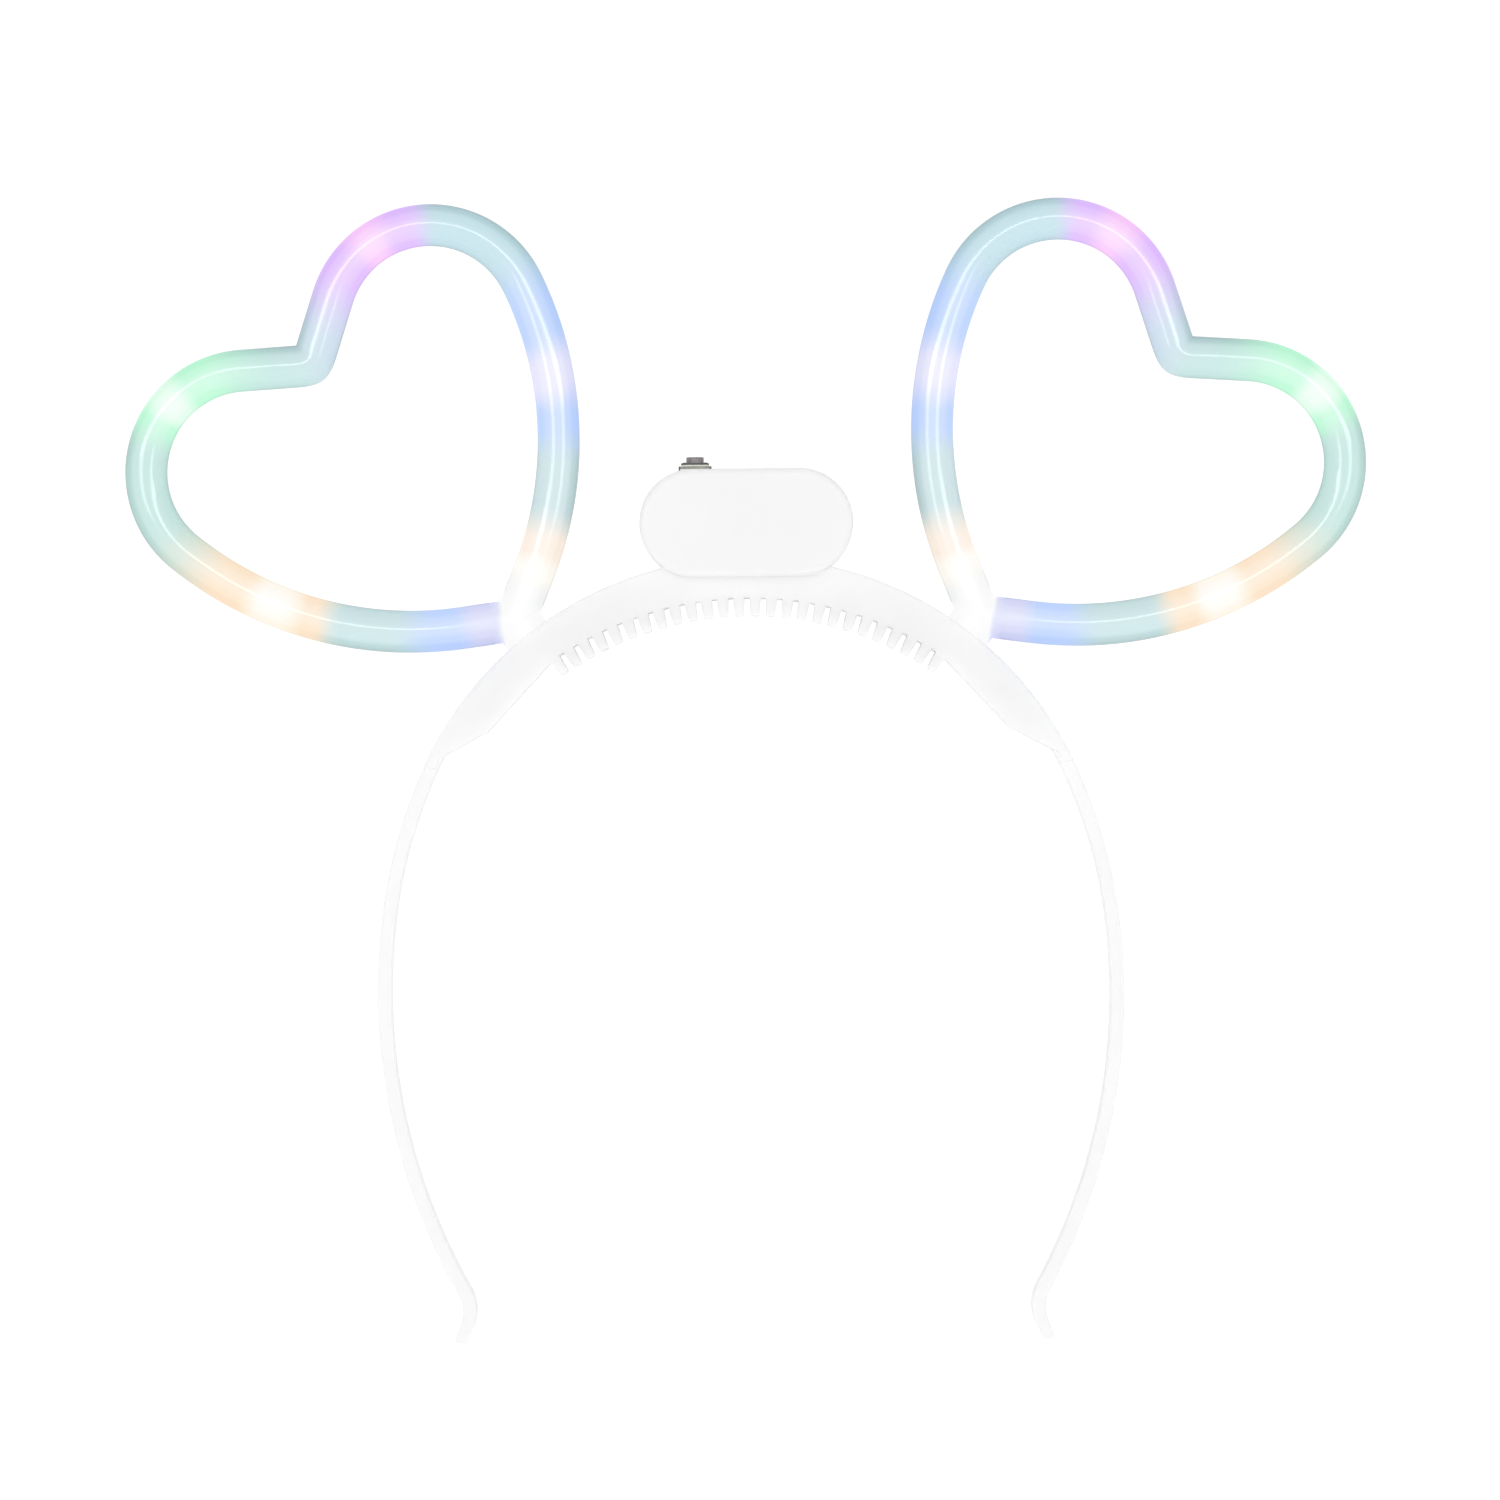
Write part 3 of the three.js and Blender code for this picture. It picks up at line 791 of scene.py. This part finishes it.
def bar(name, radius, bottom, top, x=0, y=0):
    let_go()
    bpy.ops.mesh.primitive_cylinder_add(
        vertices=ROUND_SIDES,
        radius=radius * MM,
        depth=(top - bottom) * MM,
        location=Vector((x, y, (bottom + top) / 2)) * MM,
    )
    return named(name)


def bored_block(name, side, bottom, top, corner, edge, bore_floor):
    """A block with eased rims and a round hole for the plunger, drilled down to a floor."""
    piece = block(name, side, bottom, top, corner)
    ease(piece, on_rim, edge, FINE_STEPS)
    weld(piece, "DIFFERENCE", bar("bore", BORE_RADIUS, bore_floor, SWITCH_TOP + BORE_OVERRUN))
    return piece


def tip_up(piece):
    """Turn a flat piece so that its axis points out of the case, at the switch's place."""
    piece.location = place(SWITCH_X, 0, CASE_DEPTH / 2)
    piece.rotation_euler.x = -math.pi / 2
    hold(piece)
    settle()
    smooth(piece)


print("switch tools ready")

# %% Body
BODY_SIDE = 5.4
BODY_CORNER = 0.4
BODY_EDGE = 0.15
WELL_DEPTH = 3.9

well_floor = SWITCH_TOP - WELL_DEPTH
switch_body = bored_block(
    "switch_body", BODY_SIDE, SWITCH_BOTTOM, COVER_BOTTOM, BODY_CORNER, BODY_EDGE, well_floor,
)
print("body with", len(switch_body.data.polygons), "faces")

# %% Cover with two bent tabs
COVER_CORNER = 0.6
COVER_EDGE = 0.08
COVER_PLAY = 0.1
TAB_WIDTH = 1.8
TAB_THICKNESS = 0.35
TAB_SHARE = 0.98                      # keeps a tab's face just inside the cover's edge
TAB_DROP = 0.75

switch_cover = block("switch_cover", COVER_SIDE, COVER_BOTTOM, COVER_TOP, COVER_CORNER)
for side in (-1, 1):
    tab_x = side * (COVER_SIDE - TAB_THICKNESS) / 2
    tab_middle = Vector((tab_x, 0, COVER_BOTTOM + (COVER_THICKNESS - TAB_DROP) / 2)) * MM
    tab = cuboid("tab", tab_middle, (TAB_THICKNESS * TAB_SHARE, TAB_WIDTH, TAB_DROP))
    weld(switch_cover, "UNION", tab)
ease(switch_cover, on_rim, COVER_EDGE, FINE_STEPS)
cover_bore = bar("bore", BORE_RADIUS + COVER_PLAY, COVER_BOTTOM - BORE_OVERRUN, SWITCH_TOP)
weld(switch_cover, "DIFFERENCE", cover_bore)
print("cover with", len(switch_cover.data.polygons), "faces")

# %% Spacer and retaining plate
SPACER_SIDE = 4.8
SPACER_CORNER = 0.4
SPACER_EDGE = 0.05
RETAINER_SIDE = 5
RETAINER_CORNER = 0.5
RETAINER_EDGE = 0.1
RIVET_RADIUS = 0.36
RIVET_PLACE = 1.85
RIVET_HEIGHT = 0.1                    # of its head above the plate
RIVET_ROOT = 0.1                      # its lower end, above the plate's underside
RIVET_EDGE = 0.07

spacer_floor = COVER_TOP - BORE_OVERRUN
switch_spacer = bored_block(
    "switch_spacer", SPACER_SIDE, COVER_TOP, SPACER_TOP, SPACER_CORNER, SPACER_EDGE, spacer_floor,
)
plate_floor = SPACER_TOP - BORE_OVERRUN
switch_retainer = bored_block(
    "switch_retainer", RETAINER_SIDE, SPACER_TOP, SWITCH_TOP, RETAINER_CORNER, RETAINER_EDGE, plate_floor,
)
for x in (-RIVET_PLACE, RIVET_PLACE):
    for y in (-RIVET_PLACE, RIVET_PLACE):
        rivet = bar("rivet", RIVET_RADIUS, SPACER_TOP + RIVET_ROOT, SWITCH_TOP + RIVET_HEIGHT, x, y)
        ease(rivet, on_rim, RIVET_EDGE, FINE_STEPS)
        weld(switch_retainer, "UNION", rivet)
print("retaining plate with", len(switch_retainer.data.polygons), "faces")

# %% Fluted plunger
BUTTON_TOP_RADIUS = 1.56
TOP_INSET = 0.45
TOP_DIP = 0.06
RIM_ROUNDING = 0.14
RIM_RADIUS = 1.4                      # edges of the top outside this radius are its rim
RIM_REACH = 0.02
FLUTE_DEPTH = 0.07
FLUTED_FROM = 1.2                     # points outside this radius belong to the plunger's side

switch_plunger = bar("switch_plunger", BUTTON_RADIUS, BUTTON_BOTTOM, BUTTON_TOP)
open_mesh(switch_plunger)
pick("FACE", lambda face: face.normal.z > NEARLY)
taper = BUTTON_TOP_RADIUS / BUTTON_RADIUS
bpy.ops.transform.resize(value=(taper, taper, 1))
bpy.ops.mesh.inset(thickness=TOP_INSET * MM)
bpy.ops.transform.translate(value=(0, 0, -TOP_DIP * MM))
close_mesh()


def on_plunger_rim(edge):
    reach = [Vector(vertex.co.xy).length for vertex in edge.verts]
    lowest = min(vertex.co.z for vertex in edge.verts)
    return min(reach) > RIM_RADIUS * MM and lowest > (BUTTON_TOP - RIM_REACH) * MM


def in_a_flute(vertex):
    """True on every other column of points round the plunger's side."""
    column = math.atan2(vertex.co.y, vertex.co.x) / math.tau * ROUND_SIDES
    return round(column) % 2 == 1 and Vector(vertex.co.xy).length > FLUTED_FROM * MM


ease(switch_plunger, on_plunger_rim, RIM_ROUNDING, EDGE_STEPS)
open_mesh(switch_plunger)
flutes = pick("VERT", in_a_flute)
fluted = 1 - FLUTE_DEPTH / BUTTON_RADIUS
bpy.ops.transform.resize(value=(fluted, fluted, 1), center_override=(0, 0, 0))
close_mesh()
for piece in (switch_body, switch_cover, switch_spacer, switch_retainer, switch_plunger):
    tip_up(piece)
print(f"switch of 5 pieces, its plunger with {flutes} points drawn in")

# %% [markdown]
# ## Finishes
#
# Colours are written as the sRGB hex values that a colour picker shows, and one function turns them into
# the linear values that Blender mixes. One more function adds a node, sets its properties and fills its
# inputs with values or with other nodes, so that each finish below reads as a short recipe.

# %% Helpers for finishes
WHITE = (1, 1, 1, 1)
BLACK = (0, 0, 0, 1)
SHADES_FROM = 0.35                    # noise mostly lies between these values
SHADES_TO = 0.65


def linear(hex_colour, alpha=1.0):
    parts = [int(hex_colour[k:k + 2], 16) / 255 for k in (1, 3, 5)]
    return [p / 12.92 if p <= 0.04045 else ((p + 0.055) / 1.055) ** 2.4 for p in parts] + [alpha]


def fill(node, inputs):
    """Fill a node's inputs with values, other nodes' outputs, or nodes by their first output."""
    for socket, value in inputs.items():
        if isinstance(value, bpy.types.Node):
            value = value.outputs[0]
        if isinstance(value, bpy.types.NodeSocket):
            node.id_data.links.new(value, node.inputs[socket])
        else:
            node.inputs[socket].default_value = value


def add_node(tree, kind, inputs=None, **settings):
    """Add a shader node of a kind, set its properties, and fill its inputs."""
    node = tree.nodes.new("ShaderNode" + kind)
    for name, value in settings.items():
        setattr(node, name, value)
    fill(node, inputs or {})
    return node


def new_finish(name):
    """An empty material and its Principled shader."""
    material = bpy.data.materials.new(name)
    material.use_nodes = True
    return material, material.node_tree, material.node_tree.nodes["Principled BSDF"]


def per_mm(size):
    """Texture scale for features of a size in millimetres, on Object coordinates in metres."""
    return 1 / (size * MM)


def fill_ramp(ramp, stops, passage="EASE"):
    """Give a colour ramp its stops, from rows of position and colour, with soft passages between them."""
    ramp.color_ramp.interpolation = passage
    elements = ramp.color_ramp.elements
    elements.remove(elements[1])
    elements[0].position, elements[0].color = stops[0]
    for position, colour in stops[1:]:
        elements.new(position).color = colour


print("finish tools ready")

# %% [markdown]
# ### Moulded white plastics
#
# The band is injection moulded polypropylene, dyed white, and the front of the case is harder ABS. Moulds
# of this kind are fine spark-eroded, so the skin is satin: bright, a little uneven where the plastic
# flowed, and with a grain that only shows in the soft edges of its reflections. Light also soaks a few
# millimetres into polypropylene, which fills the band's corners and the gaps of its comb.

# %% White plastics
FLOW_SIZE = 18                        # wide pale clouds where the plastic flowed
GRAIN_SIZE = 0.5                      # mould grain, drawn coarser than the real 0.05 mm so that it shows
GRAIN_DEPTH = 0.02
SATIN_FROM = 0.36
SATIN_TO = 0.48
SOAK_DEPTH = 3


def moulded_white(name, dark, pale, soak):
    """A white moulding between two shades, with the share of its light that soaks into it."""
    material, tree, shader = new_finish(name)
    where = add_node(tree, "TexCoord").outputs["Object"]
    flow = add_node(tree, "TexNoise", {"Vector": where, "Scale": per_mm(FLOW_SIZE), "Detail": 3})
    shade = add_node(tree, "ValToRGB", {"Fac": flow})
    fill_ramp(shade, [(SHADES_FROM, linear(dark)), (SHADES_TO, linear(pale))])
    grain = add_node(tree, "TexNoise", {"Vector": where, "Scale": per_mm(GRAIN_SIZE), "Detail": 2})
    gloss = add_node(tree, "MapRange", {"Value": grain, "To Min": SATIN_FROM, "To Max": SATIN_TO})
    relief = add_node(tree, "Bump", {"Height": grain, "Strength": 0.08, "Distance": GRAIN_DEPTH * MM})
    fill(shader, {
        "Base Color": shade,
        "Roughness": gloss,
        "Normal": relief,
        "IOR": 1.49,
        "Specular IOR Level": 0.2,
        "Subsurface Weight": soak,
        "Subsurface Radius": (1, 1, 1),
        "Subsurface Scale": SOAK_DEPTH * MM,
    })
    print("finish:", name)
    return material


band_plastic = moulded_white("moulded_white_polypropylene", "#f1f1f1", "#f3f3f3", 0.85)
case_plastic = moulded_white("moulded_white_abs", "#f4f4f4", "#f6f6f6", 0.1)

# %% [markdown]
# ### Frosted PVC tube, lit from inside
#
# The tube is soft PVC with a little milk in it, extruded with a glossy skin. Between the lights its pale
# aqua is the lamps' faint mixed light, painted into its colour. Its flanks are painted deeper and darker:
# partly the deeper colour of looking through more of the tube, partly painted shade, strongest on the
# heart's outside. Six small lights inside each heart change slowly in colour. Near a light the milk
# scatters its colour so strongly that the tube seems to shine by itself, with a nearly white spot over the
# bulb.
#
# A table lists the lights of both arms: where the glow begins, where it is full, where it fades and ends,
# as distances from the notch, where the spot is, how long and how white, and the colours. A loop writes
# each arm's rows into one colour ramp, with the strength of the glow in the ramp's alpha.

# %% Glow along the arms
# arm, glow begins, is full from, spot's middle, its length, fade and whiteness, full to, ends,
# colour of the glow, colour round the spot, tint of the tube beyond (the lamps' faint light, painted in)
LIGHTS = [
    ("inner", 4, 18, 24.8, 1, 5, 0.25, 32, 38, "#ebd2ff", "#fbd2fc", "#cbe6ed"),
    ("inner", 50, 62, 74.4, 2.4, 6.5, 0.35, 84, 91, "#d1e1fe", "#e6e5fb", "#d6e9ec"),
    ("inner", 98, 105, 114.5, 8, 4, 0.6, 130, 140, "#fdf3ea", "#fffaf2", "#d6e9ec"),
    ("outer", 6, 20, 26.8, 1.5, 4, 0.6, 31.6, 37.5, "#d2fbe4", "#dbfee8", "#cdeae5"),
    ("outer", 50, 66, 75.6, 3, 5, 0.85, 83.5, 89, "#fdedda", "#fff2da", "#d3eaec"),
    ("outer", 97, 105.6, 115.2, 4, 4.4, 0.1, 130, 140, "#d1e1ff", "#dee0f8", "#d3eaec"),
]
# pale tints by the notch: the lamps' faint light, painted into the tube's colour
NOTCH_TINTS = {"inner": "#d6e4f2", "outer": "#cceae6"}
TIP_FROM = {"inner": 113.5, "outer": 117.6}   # from here on the arms are alike, white and lit
TIP_COLOUR = "#f9f9f9"
TIP_GLOW = 0.7
GLOW_FULL = 0.7                       # alpha of a full glow, where a white spot has 1
WAVER = 0.7                           # how far the edge of a glow wanders along the tube
WAVER_SIZE = 6

tube_finish, tree, shader = new_finish("frosted_pvc_lit_from_inside")
where = add_node(tree, "TexCoord").outputs["Object"]
waver = add_node(tree, "TexNoise", {"Vector": where, "Scale": per_mm(WAVER_SIZE), "Detail": 2})
shift = add_node(tree, "MapRange", {"Value": waver, "To Min": -2 * WAVER, "To Max": 2 * WAVER})
distance = add_node(tree, "Attribute", attribute_name="along").outputs["Fac"]
wavering = add_node(tree, "Math", {0: distance, 1: shift})
share = add_node(tree, "Math", {0: wavering, 1: ARM_LENGTH}, operation="DIVIDE", use_clamp=True)


def arm_ramp(arm):
    """A colour ramp over one arm, with a pale tint between the glows that paints in the lamps' faint light.
    """
    tint = NOTCH_TINTS[arm]
    rows = [(0, tint, 0)]
    for name, begins, full_from, spot, length, fade, white, full_to, ends, colour, core, beyond in LIGHTS:
        if name == arm:
            spot_from, spot_to = spot - length / 2, spot + length / 2
            spot_alpha = GLOW_FULL + (1 - GLOW_FULL) * white
            rows += [
                (begins, tint, 0),
                (full_from, colour, GLOW_FULL),
                (spot_from - fade, colour, GLOW_FULL),
                (spot_from, core, spot_alpha),
                (spot_to, core, spot_alpha),
                (spot_to + fade, colour, GLOW_FULL),
                (full_to, colour, GLOW_FULL),
                (ends, beyond, 0),
            ]
            tint = beyond
    rows = [row for row in rows if row[0] < TIP_FROM[arm]] + [(TIP_FROM[arm], TIP_COLOUR, TIP_GLOW)]
    ramp = add_node(tree, "ValToRGB", {"Fac": share})
    fill_ramp(ramp, [(mm / ARM_LENGTH, linear(colour, alpha)) for mm, colour, alpha in rows])
    return ramp


inner_ramp = arm_ramp("inner")
outer_ramp = arm_ramp("outer")
which = add_node(tree, "Attribute", attribute_name="inner").outputs["Fac"]
# Mix repeats its socket names, so they go by number: 0 the factor, 2 and 3 values, 6 and 7 colours
tint = add_node(tree, "Mix", {0: which, 6: outer_ramp, 7: inner_ramp}, data_type="RGBA").outputs[2]
glow = add_node(
    tree, "Mix", {0: which, 2: outer_ramp.outputs["Alpha"], 3: inner_ramp.outputs["Alpha"]},
)
print(len(LIGHTS), "lights in each heart")

# %% Light, skin and flanks of the tube
GLOW_SHARE = 0.74                     # share of a lit point's colour that comes from the light inside
DRAW_SIZE = 9                         # slow waves left in the skin when the tube was drawn
DULL_FROM = 106                       # the tip is dulled by the heat that welded it
DULL_TO = 116
DULL_ROUGHNESS = 0.5
GLOSSY_FROM = 0.08
GLOSSY_TO = 0.16
WAVE_DEPTH = 0.3
DEEPEST_DAY = 1.15                    # power of the colour on the longest way through the unlit tube, which deepens and darkens it as painted shade
DEEPEST_LIT = 2.0                     # and where it is lit from inside
ROUNDNESS = 2.2                       # share of the longest way at which a spot would be lost
# offset across the tube, painted shade there, and share of the longest way through, which deepens the
# colour as painted shade too
FLANKS = [
    (-1, "#d2dada", 0.9),
    (-0.93, "#f4f8f8", 0.65),
    (-0.8, "#ffffff", 0.5),
    (-0.5, "#ffffff", 0.15),
    (-0.2, "#ffffff", 0),
    (0.1, "#ffffff", 0),
    (0.5, "#ffffff", 0.35),
    (0.8, "#e9efef", 0.65),
    (0.93, "#d9e2e2", 0.85),
    (1, "#bccaca", 1),
]
RIM_FROM = 0.92                       # offset where the thin dark line of painted shade along the edge begins
RIM_SHADE = 0.7
offset = add_node(tree, "Attribute", attribute_name="flank").outputs["Fac"]
across = add_node(tree, "MapRange", {"Value": offset, "From Min": -1})
# the flanks' painted shade, and how far their colour is deepened
flank = add_node(tree, "ValToRGB", {"Fac": across})
fill_ramp(flank, [((side + 1) / 2, linear(shade, way)) for side, shade, way in FLANKS])
way = flank.outputs["Alpha"]
deepest = add_node(
    tree, "MapRange", {"Value": glow, "From Max": GLOW_FULL, "To Min": DEEPEST_DAY, "To Max": DEEPEST_LIT},
)
power = add_node(tree, "MapRange", {"Value": way, "To Min": 1, "To Max": deepest})
deep = add_node(tree, "Gamma", {"Color": tint, "Gamma": power})
spot = add_node(tree, "MapRange", {"Value": glow, "From Min": GLOW_FULL})
round_spot = add_node(tree, "MapRange", {"Value": way, "From Max": ROUNDNESS, "To Min": spot, "To Max": 0})
spotted = add_node(tree, "Mix", {0: round_spot, 6: deep, 7: WHITE}, data_type="RGBA").outputs[2]
lit_share = add_node(tree, "MapRange", {"Value": glow, "From Max": GLOW_FULL, "To Max": GLOW_SHARE})
# painted shade: the glow is darkened in a thin line along each edge
edge = add_node(tree, "Math", {0: offset}, operation="ABSOLUTE")
rim = add_node(tree, "MapRange", {"Value": edge, "From Min": RIM_FROM, "To Min": 1, "To Max": RIM_SHADE})
shining = add_node(tree, "Math", {0: lit_share, 1: rim}, operation="MULTIPLY")
emitted = add_node(tree, "Mix", {0: shining, 6: BLACK, 7: spotted}, data_type="RGBA").outputs[2]
shaded = add_node(
    tree, "Mix", {0: 1.0, 6: spotted, 7: flank}, data_type="RGBA", blend_type="MULTIPLY",
).outputs[2]
reflected = add_node(tree, "Mix", {0: lit_share, 6: shaded, 7: BLACK}, data_type="RGBA").outputs[2]
drawn = add_node(tree, "TexNoise", {"Vector": where, "Scale": per_mm(DRAW_SIZE), "Detail": 1})
waves = add_node(tree, "MapRange", {"Value": drawn, "To Min": GLOSSY_FROM, "To Max": GLOSSY_TO})
gloss = add_node(tree, "MapRange", {
    "Value": distance,
    "From Min": DULL_FROM,
    "From Max": DULL_TO,
    "To Min": waves,
    "To Max": DULL_ROUGHNESS,
})
relief = add_node(tree, "Bump", {"Height": drawn, "Strength": 0.1, "Distance": WAVE_DEPTH * MM})
fill(shader, {
    "Base Color": reflected,
    "Emission Color": emitted,
    "Emission Strength": 1,
    "Roughness": gloss,
    "Normal": relief,
    "IOR": 1.5,
})
print("finish:", tube_finish.name)

# %% [markdown]
# ### Small parts of the switch, and the lights
#
# The cover is nickel plated spring steel, rolled, so it carries fine streaks. The retaining plate is black
# nylon, the plunger is grey nylon, and the body and its spacer are natural nylon, which is ivory. The
# lights themselves hang on a wire inside the tubes and are clear epoxy. The milk of the tube hides them.

# %% Switch and light finishes
STREAK_SIZE = 0.25
SPECKLE_SIZE = 0.3
SPECKLE_DEPTH = 0.02
ROLLED = (0.15, 1, 1)                 # draws the streaks out along the case


def speckled(name, dark, pale, roughness, stretch=(1, 1, 1), size=SPECKLE_SIZE):
    """A finish that varies between two colours in grains, or in streaks where it is stretched."""
    material, tree, shader = new_finish(name)
    where = add_node(tree, "TexCoord").outputs["Object"]
    drawn_out = add_node(tree, "Mapping", {"Vector": where, "Scale": stretch})
    grains = add_node(tree, "TexNoise", {"Vector": drawn_out, "Scale": per_mm(size), "Detail": 3})
    shade = add_node(tree, "ValToRGB", {"Fac": grains})
    fill_ramp(shade, [(SHADES_FROM, linear(dark)), (SHADES_TO, linear(pale))], "LINEAR")
    relief = add_node(tree, "Bump", {"Height": grains, "Strength": 0.15, "Distance": SPECKLE_DEPTH * MM})
    fill(shader, {"Base Color": shade, "Normal": relief, "Roughness": roughness})
    return material, shader


plated_steel, shader = speckled(
    "nickel_plated_spring_steel", "#696b64", "#85877e", 0.34, ROLLED, STREAK_SIZE,
)
fill(shader, {"Metallic": 1})
dark_nylon, shader = speckled("black_nylon_moulding", "#3c3d36", "#56574f", 0.42)
grey_nylon, shader = speckled("grey_nylon_moulding", "#7b7377", "#9d9699", 0.42)
natural_nylon, shader = speckled("natural_nylon_moulding", "#f5f4ec", "#fbfaf4", 0.45)
clear_epoxy, shader = speckled("clear_epoxy_light_beads", "#dfe7ee", "#f4f8fb", 0.2)
fill(shader, {"Emission Color": linear("#f2f6ff"), "Emission Strength": 0.6})
print("finishes:", [m.name for m in (plated_steel, dark_nylon, grey_nylon, natural_nylon)])

# %% [markdown]
# ## Riding on the frame
#
# Everything rides on the band except the plunger, which rides on the button, the one part that moves. Where
# a piece stands for a solid of the frame, that solid is hidden. The strings of lights inside the tubes keep
# their CAD shapes.

# %% Assign finishes and bodies
DRESSED = [
    (crown, band_plastic, "band", "headband", "white_plastic"),
    (case_front_shell, case_plastic, "band", "case_front", "white_plastic"),
    (right_tube, tube_finish, "band", "right_heart_tube", "frosted_tube"),
    (left_tube, tube_finish, "band", "left_heart_tube", "frosted_tube"),
    (switch_cover, plated_steel, "band", "switch_frame", "plated_steel"),
    (switch_retainer, dark_nylon, "band", None, "dark_plastic"),
    (switch_spacer, natural_nylon, "band", None, "white_plastic"),
    (switch_body, natural_nylon, "band", None, "white_plastic"),
    (switch_plunger, grey_nylon, "button", "switch_button", "dark_plastic"),
]
for piece, finish, body, node_name, slot_name in DRESSED:
    piece.data.materials.clear()
    piece.data.materials.append(finish)
    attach(piece, body)
    if node_name:
        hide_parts(node_name)
for node_name in ("left_led_string", "right_led_string"):
    for material_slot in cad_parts[node_name].material_slots:
        material_slot.material = clear_epoxy
print(len(DRESSED), "pieces ride on the frame")

# %% [markdown]
# ## Studio
#
# The photograph has a pure white ground and no shadows. Its one shaped light draws a thin bright line along
# every tube. The line runs in the middle where a tube lies level, strays to the side where it rises, and on
# an upright stretch it fades on one side while it appears on the other. A long bar of light across the
# picture, a little higher than the camera, does that, with a lamp below each half of it for the upright
# stretches. The lamps are weak and only show in reflections. The ground is a wide white sheet that glows a
# little itself, so that it stays white under the object and fills the sides of the band with light. It is
# kept out of mirror reflections, because the real tubes show no bright rims. The room is brighter below
# the picture than above it, which is why each tube is paler on the flank that faces down.

# %% Ground sheet
FLOOR_RADIUS = 3000
FLOOR_DROP = 0.1
FLOOR_SIDES = 96
SHEET_FIBRE = 60                      # faint clouds in the paper, drawn wide enough to show
SHEET_DARK = 0.29
SHEET_PALE = 0.31
SHEET_GLOW = 0.8

let_go()
bpy.ops.mesh.primitive_circle_add(
    vertices=FLOOR_SIDES,
    radius=FLOOR_RADIUS * MM,
    fill_type="NGON",
    location=(0, 0, -FLOOR_DROP * MM),
)
floor = named("floor")
paper, tree, shader = new_finish("matt_white_background_paper")
where = add_node(tree, "TexCoord").outputs["Object"]
fibre = add_node(tree, "TexNoise", {"Vector": where, "Scale": per_mm(SHEET_FIBRE), "Detail": 3})
tone = add_node(tree, "MapRange", {"Value": fibre, "To Min": SHEET_DARK, "To Max": SHEET_PALE})
fill(shader, {
    "Base Color": tone,
    "Roughness": 0.9,
    "Specular IOR Level": 0.1,
    "Emission Color": WHITE,
    "Emission Strength": SHEET_GLOW,
})
floor.data.materials.append(paper)
floor.visible_glossy = False
print(f"sheet of {2 * FLOOR_RADIUS} mm")

# %% Light bar and side lamps
LIGHT_BAR_LENGTH = 2600
LIGHT_BAR_WIDTH = 200
LIGHT_BAR_HEIGHT = 1500
LIGHT_BAR_RISE = 360                  # how far the bar lies up the picture from the camera
LIGHT_BAR_WATTS = 8.8
LAMP_X = 800                          # the lamps hang this far left and right of the camera
LAMP_RISE = 150
LAMP_SIDE = 540
LAMP_WATTS = 3.2

bpy.ops.object.light_add(type="AREA", location=place(VIEW_X, VIEW_Y + LIGHT_BAR_RISE, LIGHT_BAR_HEIGHT))
light_bar = bpy.context.object
light_bar.name = "light_bar"
light_bar.data.shape = "RECTANGLE"
light_bar.data.size = LIGHT_BAR_LENGTH * MM
light_bar.data.size_y = LIGHT_BAR_WIDTH * MM
light_bar.data.energy = LIGHT_BAR_WATTS
light_bar.data.use_shadow = False
light_bar.visible_camera = False

for side in (-1, 1):
    lamp_place = place(VIEW_X + side * LAMP_X, VIEW_Y + LAMP_RISE, LIGHT_BAR_HEIGHT)
    bpy.ops.object.light_add(type="AREA", location=lamp_place)
    lamp = bpy.context.object
    lamp.name = "side_lamp"
    lamp.data.size = LAMP_SIDE * MM
    lamp.data.energy = LAMP_WATTS
    lamp.data.use_shadow = False
    lamp.visible_camera = False
    lamp.visible_diffuse = False
print(f"light bar of {LIGHT_BAR_WATTS} W, {LIGHT_BAR_HEIGHT} mm up")

# %% Room
ROOM_LIGHT = 0.755
ROOM_SLOPE = 0.3                      # how far the room's brightness departs from its mean, each way

room = bpy.data.worlds.new("room")
room.use_nodes = True
direction = add_node(room.node_tree, "TexCoord").outputs["Generated"]
rise = add_node(room.node_tree, "SeparateXYZ", {"Vector": direction}).outputs["Y"]
brightest, darkest = ROOM_LIGHT * (1 + ROOM_SLOPE), ROOM_LIGHT * (1 - ROOM_SLOPE)
strength = add_node(
    room.node_tree, "MapRange", {"Value": rise, "From Min": -1, "To Min": brightest, "To Max": darkest},
)
fill(room.node_tree.nodes["Background"], {"Color": WHITE, "Strength": strength})
bpy.context.scene.world = room
bpy.context.scene.view_settings.view_transform = "Standard"
print(f"room from {darkest:.2f} to {brightest:.2f}")
